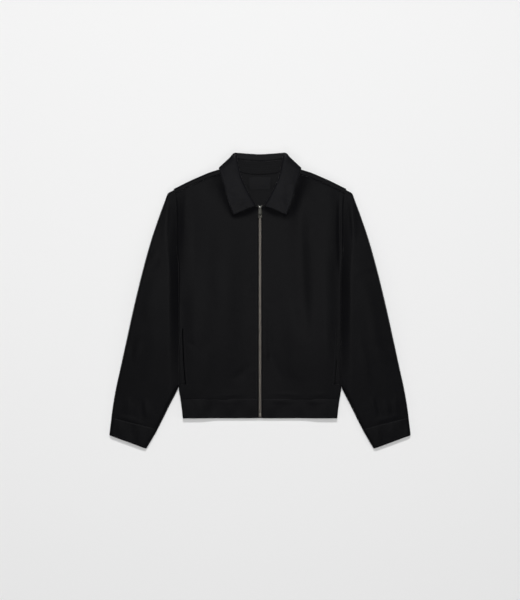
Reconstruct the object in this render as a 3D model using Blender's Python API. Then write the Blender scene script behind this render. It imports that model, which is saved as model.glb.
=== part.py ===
"""A zip-through cloth jacket with a pointed fall collar, laid flat on its back.

Frame: +Z up off the surface it lies on, +Y towards the collar, +X to the right as seen from above.
The origin is the centre of the bounding box, on that surface. Sizes are millimetres until bake().

The body is a flattened tube whose sides are tucked in between front and back. From the surface up,
its side holds six layers: back, back's return, sleeve's under layer, sleeve's upper layer, front's
return, front. Each cloth piece is a sheet of points on its middle surface, and a Solidify gives it
its wall. The tables hold one half of the garment, with out as the distance from the centre line.
"""

import math

import bmesh
import bpy
import numpy as np
from mathutils import Matrix

MM = 0.001
LEFT, RIGHT = -1, 1

# Walls, and the gap that neighbours keep
CLOTH = 1.5
DOUBLE_CLOTH = 2.0
LEAF_CLOTH = 1.8
WELT_CLOTH = 1.2
TAPE_CLOTH = 0.7
LABEL_CLOTH = 0.6
GAP = 0.3

# Heights of the middle surfaces
BACK_Z = CLOTH / 2
LOFT = 3.75
NECK_LIFT = 2.3
NECK_LIFT_Y = (280.0, 308.0)
NECK_LIFT_OUT = (108.0, 153.0)

# Folds at the body's sides, and steps along each bend
FRONT_FOLD = 1.3
BACK_FOLD = 1.15
BACK_INSET = 1.2
BEND_STEPS = 4

# Body, up its length
HEM_Y = -306.0
BAND_SEAM_Y = -255.0
STRAIGHT_TOP_Y = 175.0
FRONT_TOP_Y = 280.0
SHOULDER_TIP = (226.0, 290.5)
ZIP_EDGE = 3.6
RAMP = 55.0
SHOULDER_WRAP = 13.0

# Rows up the body's side. out: half width of the outline. turn, run: how many degrees the edge
# turns under, and how far it then runs on to its seam. top: height of the front there. drop: how
# far the front's return sinks onto the back's. full: the out where the front has its full height.
SIDE_COLUMNS = ("y", "out", "turn", "run", "top", "drop", "full")
SIDE_ROWS = (
    (BAND_SEAM_Y + GAP / 2, 207.0, 180, 43.0, 7.9, 0.4, 172),
    (-223.0, 211.4, 180, 49.0, 11.3, 3.6, 170),
    (-150.0, 211.5, 180, 60.0, 11.3, 3.6, 160),
    (-75.0, 211.5, 180, 68.0, 11.3, 3.6, 152),
    (0.0, 211.5, 180, 76.0, 11.3, 2.4, 144),
    (40.0, 211.5, 180, 80.3, 11.3, 0.5, 139),
    (58.0, 211.5, 180, 82.2, 11.3, 0.0, 138),
    (63.0, 211.6, 180, 49.0, 11.3, 0.0, 140),
    (80.0, 212.0, 180, 21.0, 11.3, 0.0, 160),
    (108.0, 214.0, 172, 1.6, 11.3, 0.0, 185),
    (132.0, 216.5, 90, 0.6, 11.3, 0.0, 200),
    (150.0, 217.0, 50, 0.8, 10.4, 0.0, 205),
    (STRAIGHT_TOP_Y, 217.0, 12, 1.2, 7.8, 0.0, 208),
    (225.0, 217.5, 4, 1.2, 6.9, 0.0, 208),
    (255.0, 218.5, 4, 1.2, 6.7, 0.0, 208),
    (268.0, 219.8, 4, 1.2, 6.6, 0.0, 208),
    (FRONT_TOP_Y, 221.5, 4, 1.2, 6.6, 0.0, 208),
)

# Columns of a front: where each starts low on the body, and where it ends on the neck edge. Those
# without a top_y end on the forward shoulder seam.
FRONT_COLUMNS = (
    # low_out, top_out, top_y
    (ZIP_EDGE, ZIP_EDGE, 243.0),
    (22.0, 20.0, 248.0),
    (42.0, 40.0, 258.0),
    (60.0, 56.0, 272.0),
    (76.0, 67.0, 288.0),
    (90.0, 75.0, 306.0),
    (104.0, 78.5, 322.0),
    (118.0, 77.0, None),
    (132.0, 106.0, None),
    (146.0, 133.0, None),
    (160.0, 158.0, None),
    (175.0, 182.0, None),
    (190.0, 201.0, None),
    (203.0, 213.0, None),
)

# Columns of half the back: where each ends on the neck edge or on the shoulder's outline, and how
# many degrees it turns over the shoulder there.
BACK_COLUMNS = (
    # low_out, top_out, top_y, over
    (0.0, 0.0, 326.6, 0),
    (25.0, 25.0, 327.3, 0),
    (49.0, 49.0, 332.0, 0),
    (66.0, 66.0, 341.0, 0),
    (77.0, 77.0, 350.0, 0),
    (86.0, 84.5, 347.8, 90),
    (98.0, 93.0, 345.4, 180),
    (112.0, 107.0, 341.4, 180),
    (134.0, 130.0, 334.4, 180),
    (158.0, 155.0, 324.2, 180),
    (180.0, 179.0, 313.6, 180),
    (195.0, 200.0, 303.4, 180),
    (203.0, 214.0, 296.3, 180),
)
NECK_RUN = 0.6

# Rings of a sleeve, from the armhole to the cuff seam: its outer and inner edge, and how far the
# ring has straightened from the armhole's curve.
SLEEVE_RINGS = (
    # outer_out, outer_y, inner_out, inner_y, straight
    (224.5, 287.3, 128.5, 58.0, 0.0),
    (229.5, 287.8, 129.5, 53.0, 0.0),
    (237.6, 282.2, 132.0, 44.0, 0.05),
    (246.0, 262.0, 136.5, 28.0, 0.15),
    (261.3, 221.0, 143.0, 6.0, 0.4),
    (283.3, 156.0, 152.0, -22.0, 0.7),
    (305.8, 75.0, 163.0, -60.0, 0.93),
    (330.0, -25.0, 178.0, -110.0, 1.0),
    (348.6, -110.0, 193.0, -162.0, 1.0),
    (363.8, -180.0, 212.1, -223.0, 1.0),
    (376.3, -238.0, 238.7, -277.0, 1.0),
    (386.0, -303.35, 266.9, -333.05, 1.0),
)
CUFF_RINGS = (
    (386.0, -304.0, 266.8, -333.7, 1.0),
    (388.8, -327.0, 281.8, -359.5, 1.0),
    (391.6, -350.2, 297.0, -385.0, 1.0),
)
# The armhole in plan, between the two ends of the first ring
ARMHOLE = (
    # out, y
    (219.3, 280.0),
    (216.2, 255.0),
    (215.2, 225.0),
    (214.7, 175.0),
    (214.5, 150.0),
    (213.8, 132.0),
    (211.0, 108.0),
    (190.5, 80.5),
    (162.0, 63.5),
)
# Height of the sleeve's under layer where it lies in the tuck
TUCKED_SLEEVE = (
    # y, z
    (-260.0, 2.4),
    (-223.0, 4.9),
    (132.0, 4.9),
    (150.0, 4.5),
    (STRAIGHT_TOP_Y, 3.4),
    (225.0, 2.75),
    (290.0, 2.75),
)
TUCKED_SPACING = 1.9
LAID_SPACING = 4.2
SLEEVE_SETTLES = (13.0, 40.0)
SLEEVE_FILLS = 40.0

# Stations of the collar from the centre back to its front end, each point as out, y, z.
# neck: seam on the body. roll: top of the inner layer. fall: start of the outer layer.
# edge: outer edge of the leaf.
COLLAR_STATIONS = (
    # neck, roll, fall, edge
    ((0.0, 327.1, 3.1), (0.0, 379.4, 4.6), (0.0, 379.4, 1.4), (0.0, 318.5, 1.05)),
    ((30.0, 329.2, 3.1), (31.0, 381.0, 4.6), (31.0, 381.0, 1.4), (38.0, 317.5, 1.05)),
    ((53.5, 335.6, 3.2), (50.5, 382.2, 4.8), (54.5, 383.2, 1.4), (84.0, 321.5, 1.05)),
    ((68.3, 345.8, 3.5), (57.8, 381.4, 5.2), (60.5, 383.4, 1.6), (101.5, 341.5, 1.15)),
    ((72.2, 348.9, 4.0), (59.2, 380.4, 5.7), (62.6, 382.8, 2.7), (105.8, 344.9, 2.2)),
    ((74.2, 350.0, 5.1), (60.2, 378.6, 6.7), (64.2, 380.6, 5.2), (107.4, 345.7, 5.0)),
    ((75.6, 348.0, 6.2), (60.4, 375.4, 7.7), (64.4, 377.2, 7.7), (107.2, 343.9, 7.9)),
    ((76.2, 344.0, 6.7), (59.9, 370.5, 8.2), (62.9, 371.8, 9.7), (105.8, 340.6, 9.4)),
    ((76.7, 336.2, 6.9), (58.4, 362.0, 8.4), (59.4, 362.4, 10.9), (102.8, 331.5, 9.3)),
    ((76.7, 319.0, 6.7), (52.0, 327.0, 8.1), (52.0, 327.0, 10.5), (96.7, 312.3, 8.9)),
    ((67.8, 293.5, 5.0), (41.0, 299.0, 7.2), (41.0, 299.0, 9.6), (89.5, 285.0, 7.5)),
    ((49.8, 269.2, 4.6), (27.6, 272.5, 6.6), (27.6, 272.5, 9.0), (81.0, 254.0, 6.9)),
    ((11.0, 246.2, 4.6), (13.0, 250.5, 5.9), (12.6, 247.6, 8.3), (68.9, 222.8, 6.6)),
)
COLLAR_STEPS = 24
STAND_SHARES = (0.0, 0.31, 0.62)
ROLL_START = 0.70
ROLL_OUT = 1.4
LEAF_BULGE = 0.5

# Waistband: heights of its four layers, where it turns back inside the tuck, and its outline
BAND_LAYERS = (8.3, 5.85, 3.4, 1.02)
BAND_TUCK_OUT = 166.0
BAND_MIDDLE_Z = 5.0
BAND_COLUMNS = (ZIP_EDGE, 40.0, 80.0, 108.0, 122.0, 140.0, 158.0, 185.0)
BAND_RAMP = (108.0, 158.0)
BAND_ROWS = (
    # y, out
    (BAND_SEAM_Y - GAP / 2, 206.0),
    (-280.0, 202.4),
    (HEM_Y, 199.8),
)

# Pocket welts: the slit's line down the front; each welt reaches from it to just inside the fold
WELT_ROWS = (
    # slit_out, y
    (202.5, -72.0),
    (201.6, -110.0),
    (200.2, -145.0),
    (198.0, -180.0),
    (194.9, -218.0),
)
WELT_OUT = 208.0

# Zip: tapes, chain, box, slider with its bridge, and the pull tab on its pin
TAPE_Z = 3.05
TAPE_OUT = (0.6, 15.0)
CHAIN_HALF = 2.6
CHAIN_Y = (-292.0, 240.5)
CHAIN_Z = (3.75, 6.0)
BOX_HALF = 3.3
BOX_Y = (-304.0, -292.4)
BOX_Z = (3.75, 6.4)
SLIDER_OUTLINE = (
    # out, y
    (3.4, 236.5),
    (3.9, 240.5),
    (5.3, 246.0),
    (5.3, 247.6),
    (1.6, 247.6),
)
SLIDER_Z = (6.3, 7.5)
BRIDGE_HALF = 0.8
BRIDGE_SIDE = (
    # y, z
    (239.2, 7.3),
    (239.6, 9.9),
    (240.8, 11.2),
    (245.4, 11.2),
    (246.6, 9.9),
    (247.0, 7.3),
    (245.8, 7.3),
    (245.5, 9.4),
    (244.8, 10.0),
    (241.4, 10.0),
    (240.7, 9.4),
    (240.4, 7.3),
)
HINGE_Y = 243.5
HINGE_Z = 8.9
PIN_RADIUS = 0.65
PIN_LENGTH = 4.1
PULL_THICK = 1.6
PULL_SLOPE = 3.6
PULL_OUTLINE = (
    # out, y from the hinge
    (1.4, -4.6),
    (1.4, 0.5),
    (2.7, 0.5),
    (2.7, -5.4),
    (4.9, -6.2),
    (5.3, -15.5),
    (5.8, -26.0),
    (4.9, -27.2),
)
SLOT_HALF = 2.0
SLOT_Y = (-24.6, -22.6)

# Neck label
LABEL_HALF = 29.0
LABEL_Y = (288.0, 322.0)


def ease(t):
    """From 0 to 1 with level ends."""
    t = min(max(t, 0.0), 1.0)
    return t * t * (3 - 2 * t)


def share_of(value, low, high):
    return (value - low) / (high - low)


def side_value(column, y):
    """One column of SIDE_ROWS at a height on the body."""
    values = [row[SIDE_COLUMNS.index(column)] for row in SIDE_ROWS]
    return float(np.interp(y, [row[0] for row in SIDE_ROWS], values))


def back_height(out, y):
    """Middle of the back: on the surface, lifted where the collar's leaf lies below it."""
    up = ease(share_of(y, *NECK_LIFT_Y)) * (1 - ease(share_of(out, *NECK_LIFT_OUT)))
    return BACK_Z + NECK_LIFT * up


def front_height(out, y):
    """Middle of the front: a little loft, then up over the layers tucked in at the side."""
    full = side_value("full", y)
    rise = side_value("top", y) - BACK_Z - LOFT
    return back_height(out, y) + LOFT + rise * ease(share_of(out, full - RAMP, full))


def bend(start, heading, turn, length):
    """Points along an arc of the given length that turns by turn, and its heading at the end."""
    points, point = [], np.array(start, float)
    for step in range(BEND_STEPS):
        middle = heading + turn * (step + 0.5) / BEND_STEPS
        chord = 2 * math.sin(turn / BEND_STEPS / 2) / (turn / BEND_STEPS) if turn else 1.0
        direction = np.array([math.cos(middle), math.sin(middle)])
        point = point + length / BEND_STEPS * chord * direction
        points.append(point)
    return points, heading + turn


def bend_reach(turn, length, run):
    """How far an edge that turns under by turn, and then runs on, reaches past its start."""
    if not turn:
        return length + run
    reach = length / turn * math.sin(min(turn, math.pi / 2))
    return reach + max(0.0, run * math.cos(turn))


def side_edge(row, out, z, sense, radius):
    """(out, z) points of a body panel's edge. sense is -1 for the front, which turns down, and 1
    for the back, which turns up."""
    values = dict(zip(SIDE_COLUMNS, row))
    turn, run, length = math.radians(values["turn"]), values["run"], math.pi * radius
    start = (out - bend_reach(turn, length, run), z)
    points, heading = bend(start, 0.0, sense * turn, length)
    direction = np.array([math.cos(heading), math.sin(heading)])
    last = points[-1]
    points.append(last + max(run - 10, run / 2) * direction)
    points.append(last + run * direction - (0, values["drop"] if sense < 0 else 0.0))
    return [start, *points]


def lower_out(low_out, row_out):
    """A column's place on a straight row, scaled with the outline but for the zip edge."""
    return low_out if low_out <= ZIP_EDGE else low_out * row_out / 211.5


def shoulder_line(out):
    """Middle of the cloth along the shoulder's outline."""
    line = [column[1:3] for column in BACK_COLUMNS] + [SHOULDER_TIP]
    return float(np.interp(out, [p[0] for p in line], [p[1] for p in line])) - CLOTH / 2


def shoulder_seam(out):
    return shoulder_line(out) - SHOULDER_WRAP - GAP


def front_rows():
    """Rows from the waistband seam up to the neck edge and the forward shoulder seam."""
    rows = []
    for row in SIDE_ROWS:
        y, out = row[0], row[1] - CLOTH / 2
        share = max(0.0, share_of(y, STRAIGHT_TOP_Y, FRONT_TOP_Y))
        points = []
        for low_out, top_out, top_y in FRONT_COLUMNS:
            x = lower_out(low_out, row[1]) if share == 0 else low_out
            x += share * (top_out - low_out)
            top_y = top_y or shoulder_seam(top_out)
            point_y = y if share == 0 else STRAIGHT_TOP_Y + share * (top_y - STRAIGHT_TOP_Y)
            points.append((x, point_y, front_height(x, point_y)))
        for x, z in side_edge(row, out, front_height(out, y), -1, FRONT_FOLD):
            top_y = shoulder_seam(x)
            point_y = y if share == 0 else STRAIGHT_TOP_Y + share * (top_y - STRAIGHT_TOP_Y)
            points.append((x, point_y, z))
        rows.append(points)
    return rows


def shoulder_wrap(x, y, z, top_y, over):
    """The end of a back column: over the shoulder and forward to the seam, or flat to the neck."""
    turn = math.radians(over)
    radius = (front_height(x, top_y - SHOULDER_WRAP) - z) / 2
    length = max(turn, 1.0) * radius
    run = SHOULDER_WRAP - radius if over == 180 else NECK_RUN
    start = (top_y - bend_reach(turn, length, run), z)
    points, heading = bend(start, 0.0, turn, length)
    direction = np.array([math.cos(heading), math.sin(heading)])
    points += [points[-1] + share * run * direction for share in (0.5, 1.0)]
    return [(x, start[0], z)] + [(x, py, pz) for py, pz in points]


def back_column(low_out, top_out, top_y, over):
    """Points of one column up the back, ended at the neck or over the shoulder."""
    end = shoulder_wrap(top_out, 0, back_height(top_out, top_y), top_y, over)
    points = []
    for row in SIDE_ROWS[:-1]:
        share = max(0.0, share_of(row[0], STRAIGHT_TOP_Y, FRONT_TOP_Y))
        x = low_out * row[1] / 211.5 if share == 0 else low_out + share * (top_out - low_out)
        y = row[0] if share == 0 else STRAIGHT_TOP_Y + share * (end[0][1] - STRAIGHT_TOP_Y)
        points.append((x, y, back_height(x, y)))
    return points + end


def back_edge_columns():
    """The columns of the back's turned-up edge, which also wrap over the shoulder at their top."""
    per_row = []
    for row in SIDE_ROWS:
        share = max(0.0, share_of(row[0], STRAIGHT_TOP_Y, FRONT_TOP_Y))
        out = row[1] - BACK_INSET - CLOTH / 2
        out += share * (SHOULDER_TIP[0] - SIDE_ROWS[-1][1])
        per_row.append((share, side_edge(row, out, BACK_Z, 1, BACK_FOLD)))
    columns = []
    for j in range(len(per_row[0][1])):
        top_x, top_z = per_row[-1][1][j]
        end = shoulder_wrap(top_x, 0, top_z, shoulder_line(top_x), 180)
        points = []
        for row, (share, edge) in zip(SIDE_ROWS[:-1], per_row):
            y = row[0] if share == 0 else STRAIGHT_TOP_Y + share * (end[0][1] - STRAIGHT_TOP_Y)
            points.append((edge[j][0], y, edge[j][1]))
        columns.append(points + end)
    return columns


def back_rows():
    half = []
    for low_out, top_out, top_y, over in BACK_COLUMNS:
        half.append(back_column(low_out, top_out, shoulder_line(top_out) if over else top_y, over))
    half += back_edge_columns()
    rows = [list(points) for points in zip(*half)]
    return [mirrored_row(row[:0:-1], LEFT) + mirrored_row(row, RIGHT) for row in rows]


def mirrored_row(row, side):
    return [(side * x, y, z) for x, y, z in row]


def sleeve_floor(out, y):
    """Middle of a sleeve's under layer: in the tuck beside the body, on the surface beyond it."""
    tucked = float(np.interp(y, [p[0] for p in TUCKED_SLEEVE], [p[1] for p in TUCKED_SLEEVE]))
    past = out - side_value("out", y)
    return BACK_Z + (tucked - BACK_Z) * (1 - ease(share_of(past, *SLEEVE_SETTLES)))


def sleeve_spacing(out, y, along):
    """Distance between a sleeve's two layers, along from 0 at its outer edge to 1 at its inner."""
    filled = ease((out - side_value("out", y)) / SLEEVE_FILLS)
    lens = math.sqrt(max(0.0, 4 * along * (1 - along)))
    return TUCKED_SPACING + (LAID_SPACING - TUCKED_SPACING) * filled * lens


def cuff_floor(_out, _y):
    return BAND_LAYERS[-1]


def cuff_spacing(_out, _y, along):
    lens = math.sqrt(max(0.0, 4 * along * (1 - along)))
    return TUCKED_SPACING + 0.6 + (LAID_SPACING - TUCKED_SPACING) * lens


def ring_plan(outer, inner, straight):
    """Plan points of a ring from its outer edge to its inner, and how far along each lies."""
    first = [np.array(SLEEVE_RINGS[0][:2]), *map(np.array, ARMHOLE), np.array(SLEEVE_RINGS[0][2:4])]
    steps = [float(np.linalg.norm(b - a)) for a, b in zip(first, first[1:])]
    along = np.concatenate([[0], np.cumsum(steps)]) / sum(steps)
    outer, inner = np.array(outer), np.array(inner)
    points = []
    for point, share in zip(first, along):
        curved = point + (1 - share) * (outer - first[0]) + share * (inner - first[-1])
        line = outer + share * (inner - outer)
        points.append(curved + straight * (line - curved))
    return points, along


def ring(row, floor, spacing):
    """A closed ring of a flattened tube, with round edges."""
    plan, along = ring_plan(row[0:2], row[2:4], row[4])
    upper, lower = [], []
    for end, towards, share in ((0, 1, 0.0), (-1, -2, 1.0)):
        z, gap = floor(*plan[end]), spacing(*plan[end], share)
        inwards = (plan[towards] - plan[end]) / np.linalg.norm(plan[towards] - plan[end])
        for angle in (0, 45, 90):
            x, y = plan[end] + inwards * gap / 2 * (1 - math.cos(math.radians(angle)))
            rise = gap / 2 * math.sin(math.radians(angle))
            upper.append((x, y, z + gap / 2 + rise))
            lower.append((x, y, z + gap / 2 - rise))
    middle_upper, middle_lower = [], []
    for point, share in list(zip(plan, along))[1:-1]:
        z = floor(*point)
        middle_lower.append((*point, z))
        middle_upper.append((*point, z + spacing(*point, share)))
    outer_up, inner_up = upper[:3], upper[3:]
    outer_down, inner_down = lower[:3], lower[3:]
    there = outer_up + middle_upper + inner_up[::-1]
    back = inner_down[1:] + middle_lower[::-1] + outer_down[:0:-1]
    return there + back


def slopes(before, after):
    """Slopes at a station from the steps on its two sides, level where they turn back."""
    same = before * after > 0
    return np.where(same, 2 * before * after / np.where(same, before + after, 1.0), 0.0)


def smooth_station(u):
    """A point of the collar's stations at u from 0 to 1, on a smooth curve through them."""
    table = np.array([mirrored_row(COLLAR_STATIONS[1], LEFT), *COLLAR_STATIONS])
    table = np.concatenate([table, 2 * table[-1:] - table[-2:-1]])
    place = u * (len(COLLAR_STATIONS) - 1)
    i = min(int(place), len(COLLAR_STATIONS) - 2) + 1
    t = place - i + 1
    steps = table[1:] - table[:-1]
    m0, m1 = slopes(steps[i - 1], steps[i]), slopes(steps[i], steps[i + 1])
    h10, h01, h11 = t**3 - 2 * t**2 + t, 3 * t**2 - 2 * t**3, t**3 - t**2
    return table[i] + h10 * m0 + h01 * steps[i] + h11 * m1


def collar_half(section):
    return [section(*smooth_station(step / COLLAR_STEPS)) for step in range(COLLAR_STEPS + 1)]


def whole_collar(section):
    half = collar_half(section)
    return [mirrored_row(row, LEFT) for row in half[:0:-1]] + half


def stand_section(neck, roll, _fall, _edge):
    """From the neck seam up to the seam below the roll line."""
    return [tuple(neck + share * (roll - neck)) for share in STAND_SHARES]


def leaf_section(neck, roll, fall, edge):
    """From the top of the stand over the roll line to the leaf's outer edge."""
    seam = neck + (ROLL_START + GAP / np.linalg.norm(roll - neck)) * (roll - neck)
    outwards = (roll - neck) * (1, 1, 0)
    outwards /= np.linalg.norm(outwards)
    tip = (roll + fall) / 2 + ROLL_OUT * outwards
    lift = LEAF_BULGE if fall[2] > roll[2] else 0.0
    body = [fall + share * (edge - fall) for share in (0.3, 0.65)]
    return [tuple(p) for p in (seam, roll, tip, fall, *(b + (0, 0, lift) for b in body), edge)]


def band_half(out):
    """(out, z) points round one half of the waistband: top layer, tuck, bottom layer."""
    top, upper, lower, bottom = BAND_LAYERS
    points = []
    for low_out in BAND_COLUMNS:
        x = lower_out(low_out, out + 5)
        points.append((x, BAND_MIDDLE_Z + (top - BAND_MIDDLE_Z) * ease(share_of(x, *BAND_RAMP))))
    turns = ((top, upper, 1), (upper, lower, -1), (lower, bottom, 1))
    x = out - (top - upper) / 2
    for above, below, way in turns:
        radius = (above - below) / 2
        if way < 0:
            x = BAND_TUCK_OUT + radius
        elif above == lower:
            x = out - BACK_INSET - radius
        heading = 0.0 if way > 0 else math.pi
        points.append((x, above))
        points += [tuple(p) for p in bend((x, above), heading, -way * math.pi, math.pi * radius)[0]]
    return points + [(x, bottom) for x in (150.0, 100.0, 50.0)]


def band_rows():
    rows = []
    for y, out in BAND_ROWS:
        half = [(x, y, z) for x, z in band_half(out)]
        centre = [(0.0, y, BAND_LAYERS[-1])]
        rows.append(mirrored_row(half, LEFT) + centre + half[::-1])
    return rows


def welt_rows():
    """The pocket welt lies on the front, raised by its own wall."""
    raised = CLOTH / 2 + GAP + WELT_CLOTH / 2
    rows = []
    for slit_out, y in WELT_ROWS:
        outs = (slit_out, (slit_out + WELT_OUT) / 2, WELT_OUT)
        rows.append([(x, y, front_height(x, y) + raised) for x in outs])
    return rows


def tape_rows():
    ends = (BOX_Y[0], CHAIN_Y[1])
    return [[(out, y, TAPE_Z) for out in TAPE_OUT] for y in ends]


def label_rows():
    """The label lies inside the back, below the neck."""
    raised = CLOTH / 2 + GAP + LABEL_CLOTH / 2
    rows = []
    for y in np.linspace(*LABEL_Y, 6):
        rows.append([(x, y, back_height(abs(x), y) + raised) for x in (-LABEL_HALF, 0, LABEL_HALF)])
    return rows


def material(name, colour, roughness, metallic=0.0):
    made = bpy.data.materials.new(name)
    made.use_nodes = True
    shader = made.node_tree.nodes["Principled BSDF"]
    shader.inputs["Base Color"].default_value = (*colour, 1)
    shader.inputs["Roughness"].default_value = roughness
    shader.inputs["Metallic"].default_value = metallic
    made.diffuse_color = (*colour, 1)
    return made


def bake(name, vertices, faces, finish):
    """An object from points in millimetres."""
    mesh = bpy.data.meshes.new(name)
    mesh.from_pydata([[float(c) * MM for c in vertex] for vertex in vertices], [], faces)
    mesh.materials.append(finish)
    obj = bpy.data.objects.new(name, mesh)
    bpy.context.scene.collection.objects.link(obj)
    return obj


def cloth(name, rows, wall, finish, around=False):
    """A sheet through rows of points, with its wall. around joins each row's end to its start."""
    width = len(rows[0])
    faces = []
    for i in range(len(rows) - 1):
        for j in range(width if around else width - 1):
            k = (j + 1) % width
            faces.append((i * width + j, i * width + k, (i + 1) * width + k, (i + 1) * width + j))
    obj = bake(name, [point for row in rows for point in row], faces, finish)
    obj.data.shade_smooth()
    solidify = obj.modifiers.new("wall", "SOLIDIFY")
    solidify.thickness = wall * MM
    solidify.offset = 0
    solidify.use_even_offset = True
    return obj


def pair(name, rows, wall, finish, around=False):
    """The left and right copies of a cloth piece."""
    for side, word in ((LEFT, "left"), (RIGHT, "right")):
        half = [mirrored_row(row, side) for row in rows]
        cloth(f"{name}_{word}", half, wall, finish, around)


def prism(name, outline, low, high, finish, axis=2):
    """A closed outline carried from low to high along an axis, 0 for X or 2 for Z."""
    n = len(outline)
    vertices = [
        (level, a, b) if axis == 0 else (a, b, level) for level in (low, high) for a, b in outline
    ]
    faces = [tuple(range(n))[::-1], tuple(range(n, 2 * n))]
    faces += [(i, (i + 1) % n, n + (i + 1) % n, n + i) for i in range(n)]
    obj = bake(name, vertices, faces, finish)
    mesh = bmesh.new()
    mesh.from_mesh(obj.data)
    bmesh.ops.recalc_face_normals(mesh, faces=mesh.faces)
    mesh.to_mesh(obj.data)
    mesh.free()
    return obj


def symmetric(half_outline):
    """A closed outline from its right half."""
    return list(half_outline) + [(-out, y) for out, y in half_outline[::-1]]


def helper(obj):
    obj.hide_render = True
    obj.display_type = "WIRE"
    return obj


def boolean(obj, other, operation):
    """Joins or cuts obj by a helper that goes where obj goes."""
    helper(other)
    modifier = obj.modifiers.new(operation.lower(), "BOOLEAN")
    modifier.operation = operation
    modifier.object = other


def rectangle(half_width, ends):
    return symmetric([(half_width, y) for y in ends])


def make_zip(metal, tape):
    pair("zip_tape", tape_rows(), TAPE_CLOTH, tape)
    prism("zip_chain", rectangle(CHAIN_HALF, CHAIN_Y), *CHAIN_Z, metal)
    prism("zip_box", rectangle(BOX_HALF, BOX_Y), *BOX_Z, metal)
    slider = prism("zip_slider", symmetric(SLIDER_OUTLINE), *SLIDER_Z, metal)
    bridge = prism("bridge", BRIDGE_SIDE, -BRIDGE_HALF, BRIDGE_HALF, metal, axis=0)
    boolean(slider, bridge, "UNION")


def make_pull(metal):
    """The pull tab, with its origin on the pin's axis."""
    half = PULL_THICK / 2
    pull = prism("zip_pull", symmetric(PULL_OUTLINE), -half, half, metal)
    cutter = prism("pull_slot", rectangle(SLOT_HALF, SLOT_Y), -PULL_THICK, PULL_THICK, metal)
    pin = bmesh.new()
    bmesh.ops.create_cone(
        pin,
        cap_ends=True,
        segments=12,
        radius1=PIN_RADIUS * MM,
        radius2=PIN_RADIUS * MM,
        depth=PIN_LENGTH * MM,
        matrix=Matrix.Rotation(math.pi / 2, 4, "Y"),
    )
    pin_mesh = bpy.data.meshes.new("pull_pin")
    pin.to_mesh(pin_mesh)
    pin.free()
    pin_object = bpy.data.objects.new("pull_pin", pin_mesh)
    bpy.context.scene.collection.objects.link(pin_object)
    boolean(pull, pin_object, "UNION")
    boolean(pull, cutter, "DIFFERENCE")
    for obj in (pull, pin_object, cutter):
        obj.location = (0, HINGE_Y * MM, HINGE_Z * MM)
        obj.rotation_euler = (math.radians(PULL_SLOPE), 0, 0)


def main():
    for obj in list(bpy.data.objects):
        bpy.data.objects.remove(obj)
    black_cloth = material("black cotton twill", (0.012, 0.012, 0.014), 0.85)
    black_tape = material("black zip tape", (0.02, 0.017, 0.016), 0.8)
    black_label = material("black woven label", (0.009, 0.009, 0.01), 0.6)
    grey_metal = material("nickel-plated brass", (0.36, 0.35, 0.33), 0.35, 1.0)
    cloth("back", back_rows(), CLOTH, black_cloth)
    pair("front", front_rows(), CLOTH, black_cloth)
    sleeve_rows = [ring(row, sleeve_floor, sleeve_spacing) for row in SLEEVE_RINGS]
    pair("sleeve", sleeve_rows, CLOTH, black_cloth, around=True)
    cuff_rows = [ring(row, cuff_floor, cuff_spacing) for row in CUFF_RINGS]
    pair("cuff", cuff_rows, DOUBLE_CLOTH, black_cloth, around=True)
    cloth("waistband", band_rows(), DOUBLE_CLOTH, black_cloth)
    cloth("collar_stand", whole_collar(stand_section), DOUBLE_CLOTH, black_cloth)
    cloth("collar_leaf", whole_collar(leaf_section), LEAF_CLOTH, black_cloth)
    pair("pocket_welt", welt_rows(), WELT_CLOTH, black_cloth)
    cloth("neck_label", label_rows(), LABEL_CLOTH, black_label)
    make_zip(grey_metal, black_tape)
    make_pull(grey_metal)


main()
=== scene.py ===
# %% [markdown]
# # A black zip-through jacket, laid flat
# The jacket lies on its back, seen from straight above. Its sides are tucked in between front and
# back, its sleeves lie beside the body, and its collar is folded down over a closed metal zip.
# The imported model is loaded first. It fixes where each piece goes, and every cloth piece below
# stands for one of its solids.

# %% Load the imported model
import math

import bmesh
import bpy
import numpy as np
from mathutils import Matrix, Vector
from mathutils.bvhtree import BVHTree


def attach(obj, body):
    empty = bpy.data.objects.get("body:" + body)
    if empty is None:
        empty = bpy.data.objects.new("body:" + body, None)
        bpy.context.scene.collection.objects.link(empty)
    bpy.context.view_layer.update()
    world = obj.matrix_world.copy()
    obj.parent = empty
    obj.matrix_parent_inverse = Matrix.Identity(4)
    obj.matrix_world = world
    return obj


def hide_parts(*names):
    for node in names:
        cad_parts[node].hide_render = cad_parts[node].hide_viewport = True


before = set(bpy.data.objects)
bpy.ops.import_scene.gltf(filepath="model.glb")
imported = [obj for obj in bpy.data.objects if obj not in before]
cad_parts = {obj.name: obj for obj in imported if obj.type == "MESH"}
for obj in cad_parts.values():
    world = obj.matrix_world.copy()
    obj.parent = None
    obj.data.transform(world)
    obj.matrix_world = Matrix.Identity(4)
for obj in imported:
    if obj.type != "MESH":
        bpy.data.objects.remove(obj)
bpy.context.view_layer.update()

MM = 0.001

# %% [markdown]
# ## Camera
# A flat-lay photograph is taken from straight above with a long lens, so nothing leans. The
# picture's 600 rows cover 1.56 m of the table. A 100 mm lens on a 36 mm sensor does that from
# 4.34 m up.

# %% Camera
VIEW_HEIGHT = 1.56
LENS = 100.0
SENSOR = 36.0
CLOTH_TOP = 0.008
PICTURE_MIDDLE_Y = 0.0018
camera_data = bpy.data.cameras.new("overhead")
camera_data.lens = LENS
camera_data.sensor_width = SENSOR
camera = bpy.data.objects.new("overhead", camera_data)
camera.location = (0.0, PICTURE_MIDDLE_Y, CLOTH_TOP + VIEW_HEIGHT * LENS / SENSOR)
bpy.context.scene.collection.objects.link(camera)
bpy.context.scene.camera = camera
print("camera height in m:", round(camera.location.z, 3))

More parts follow.
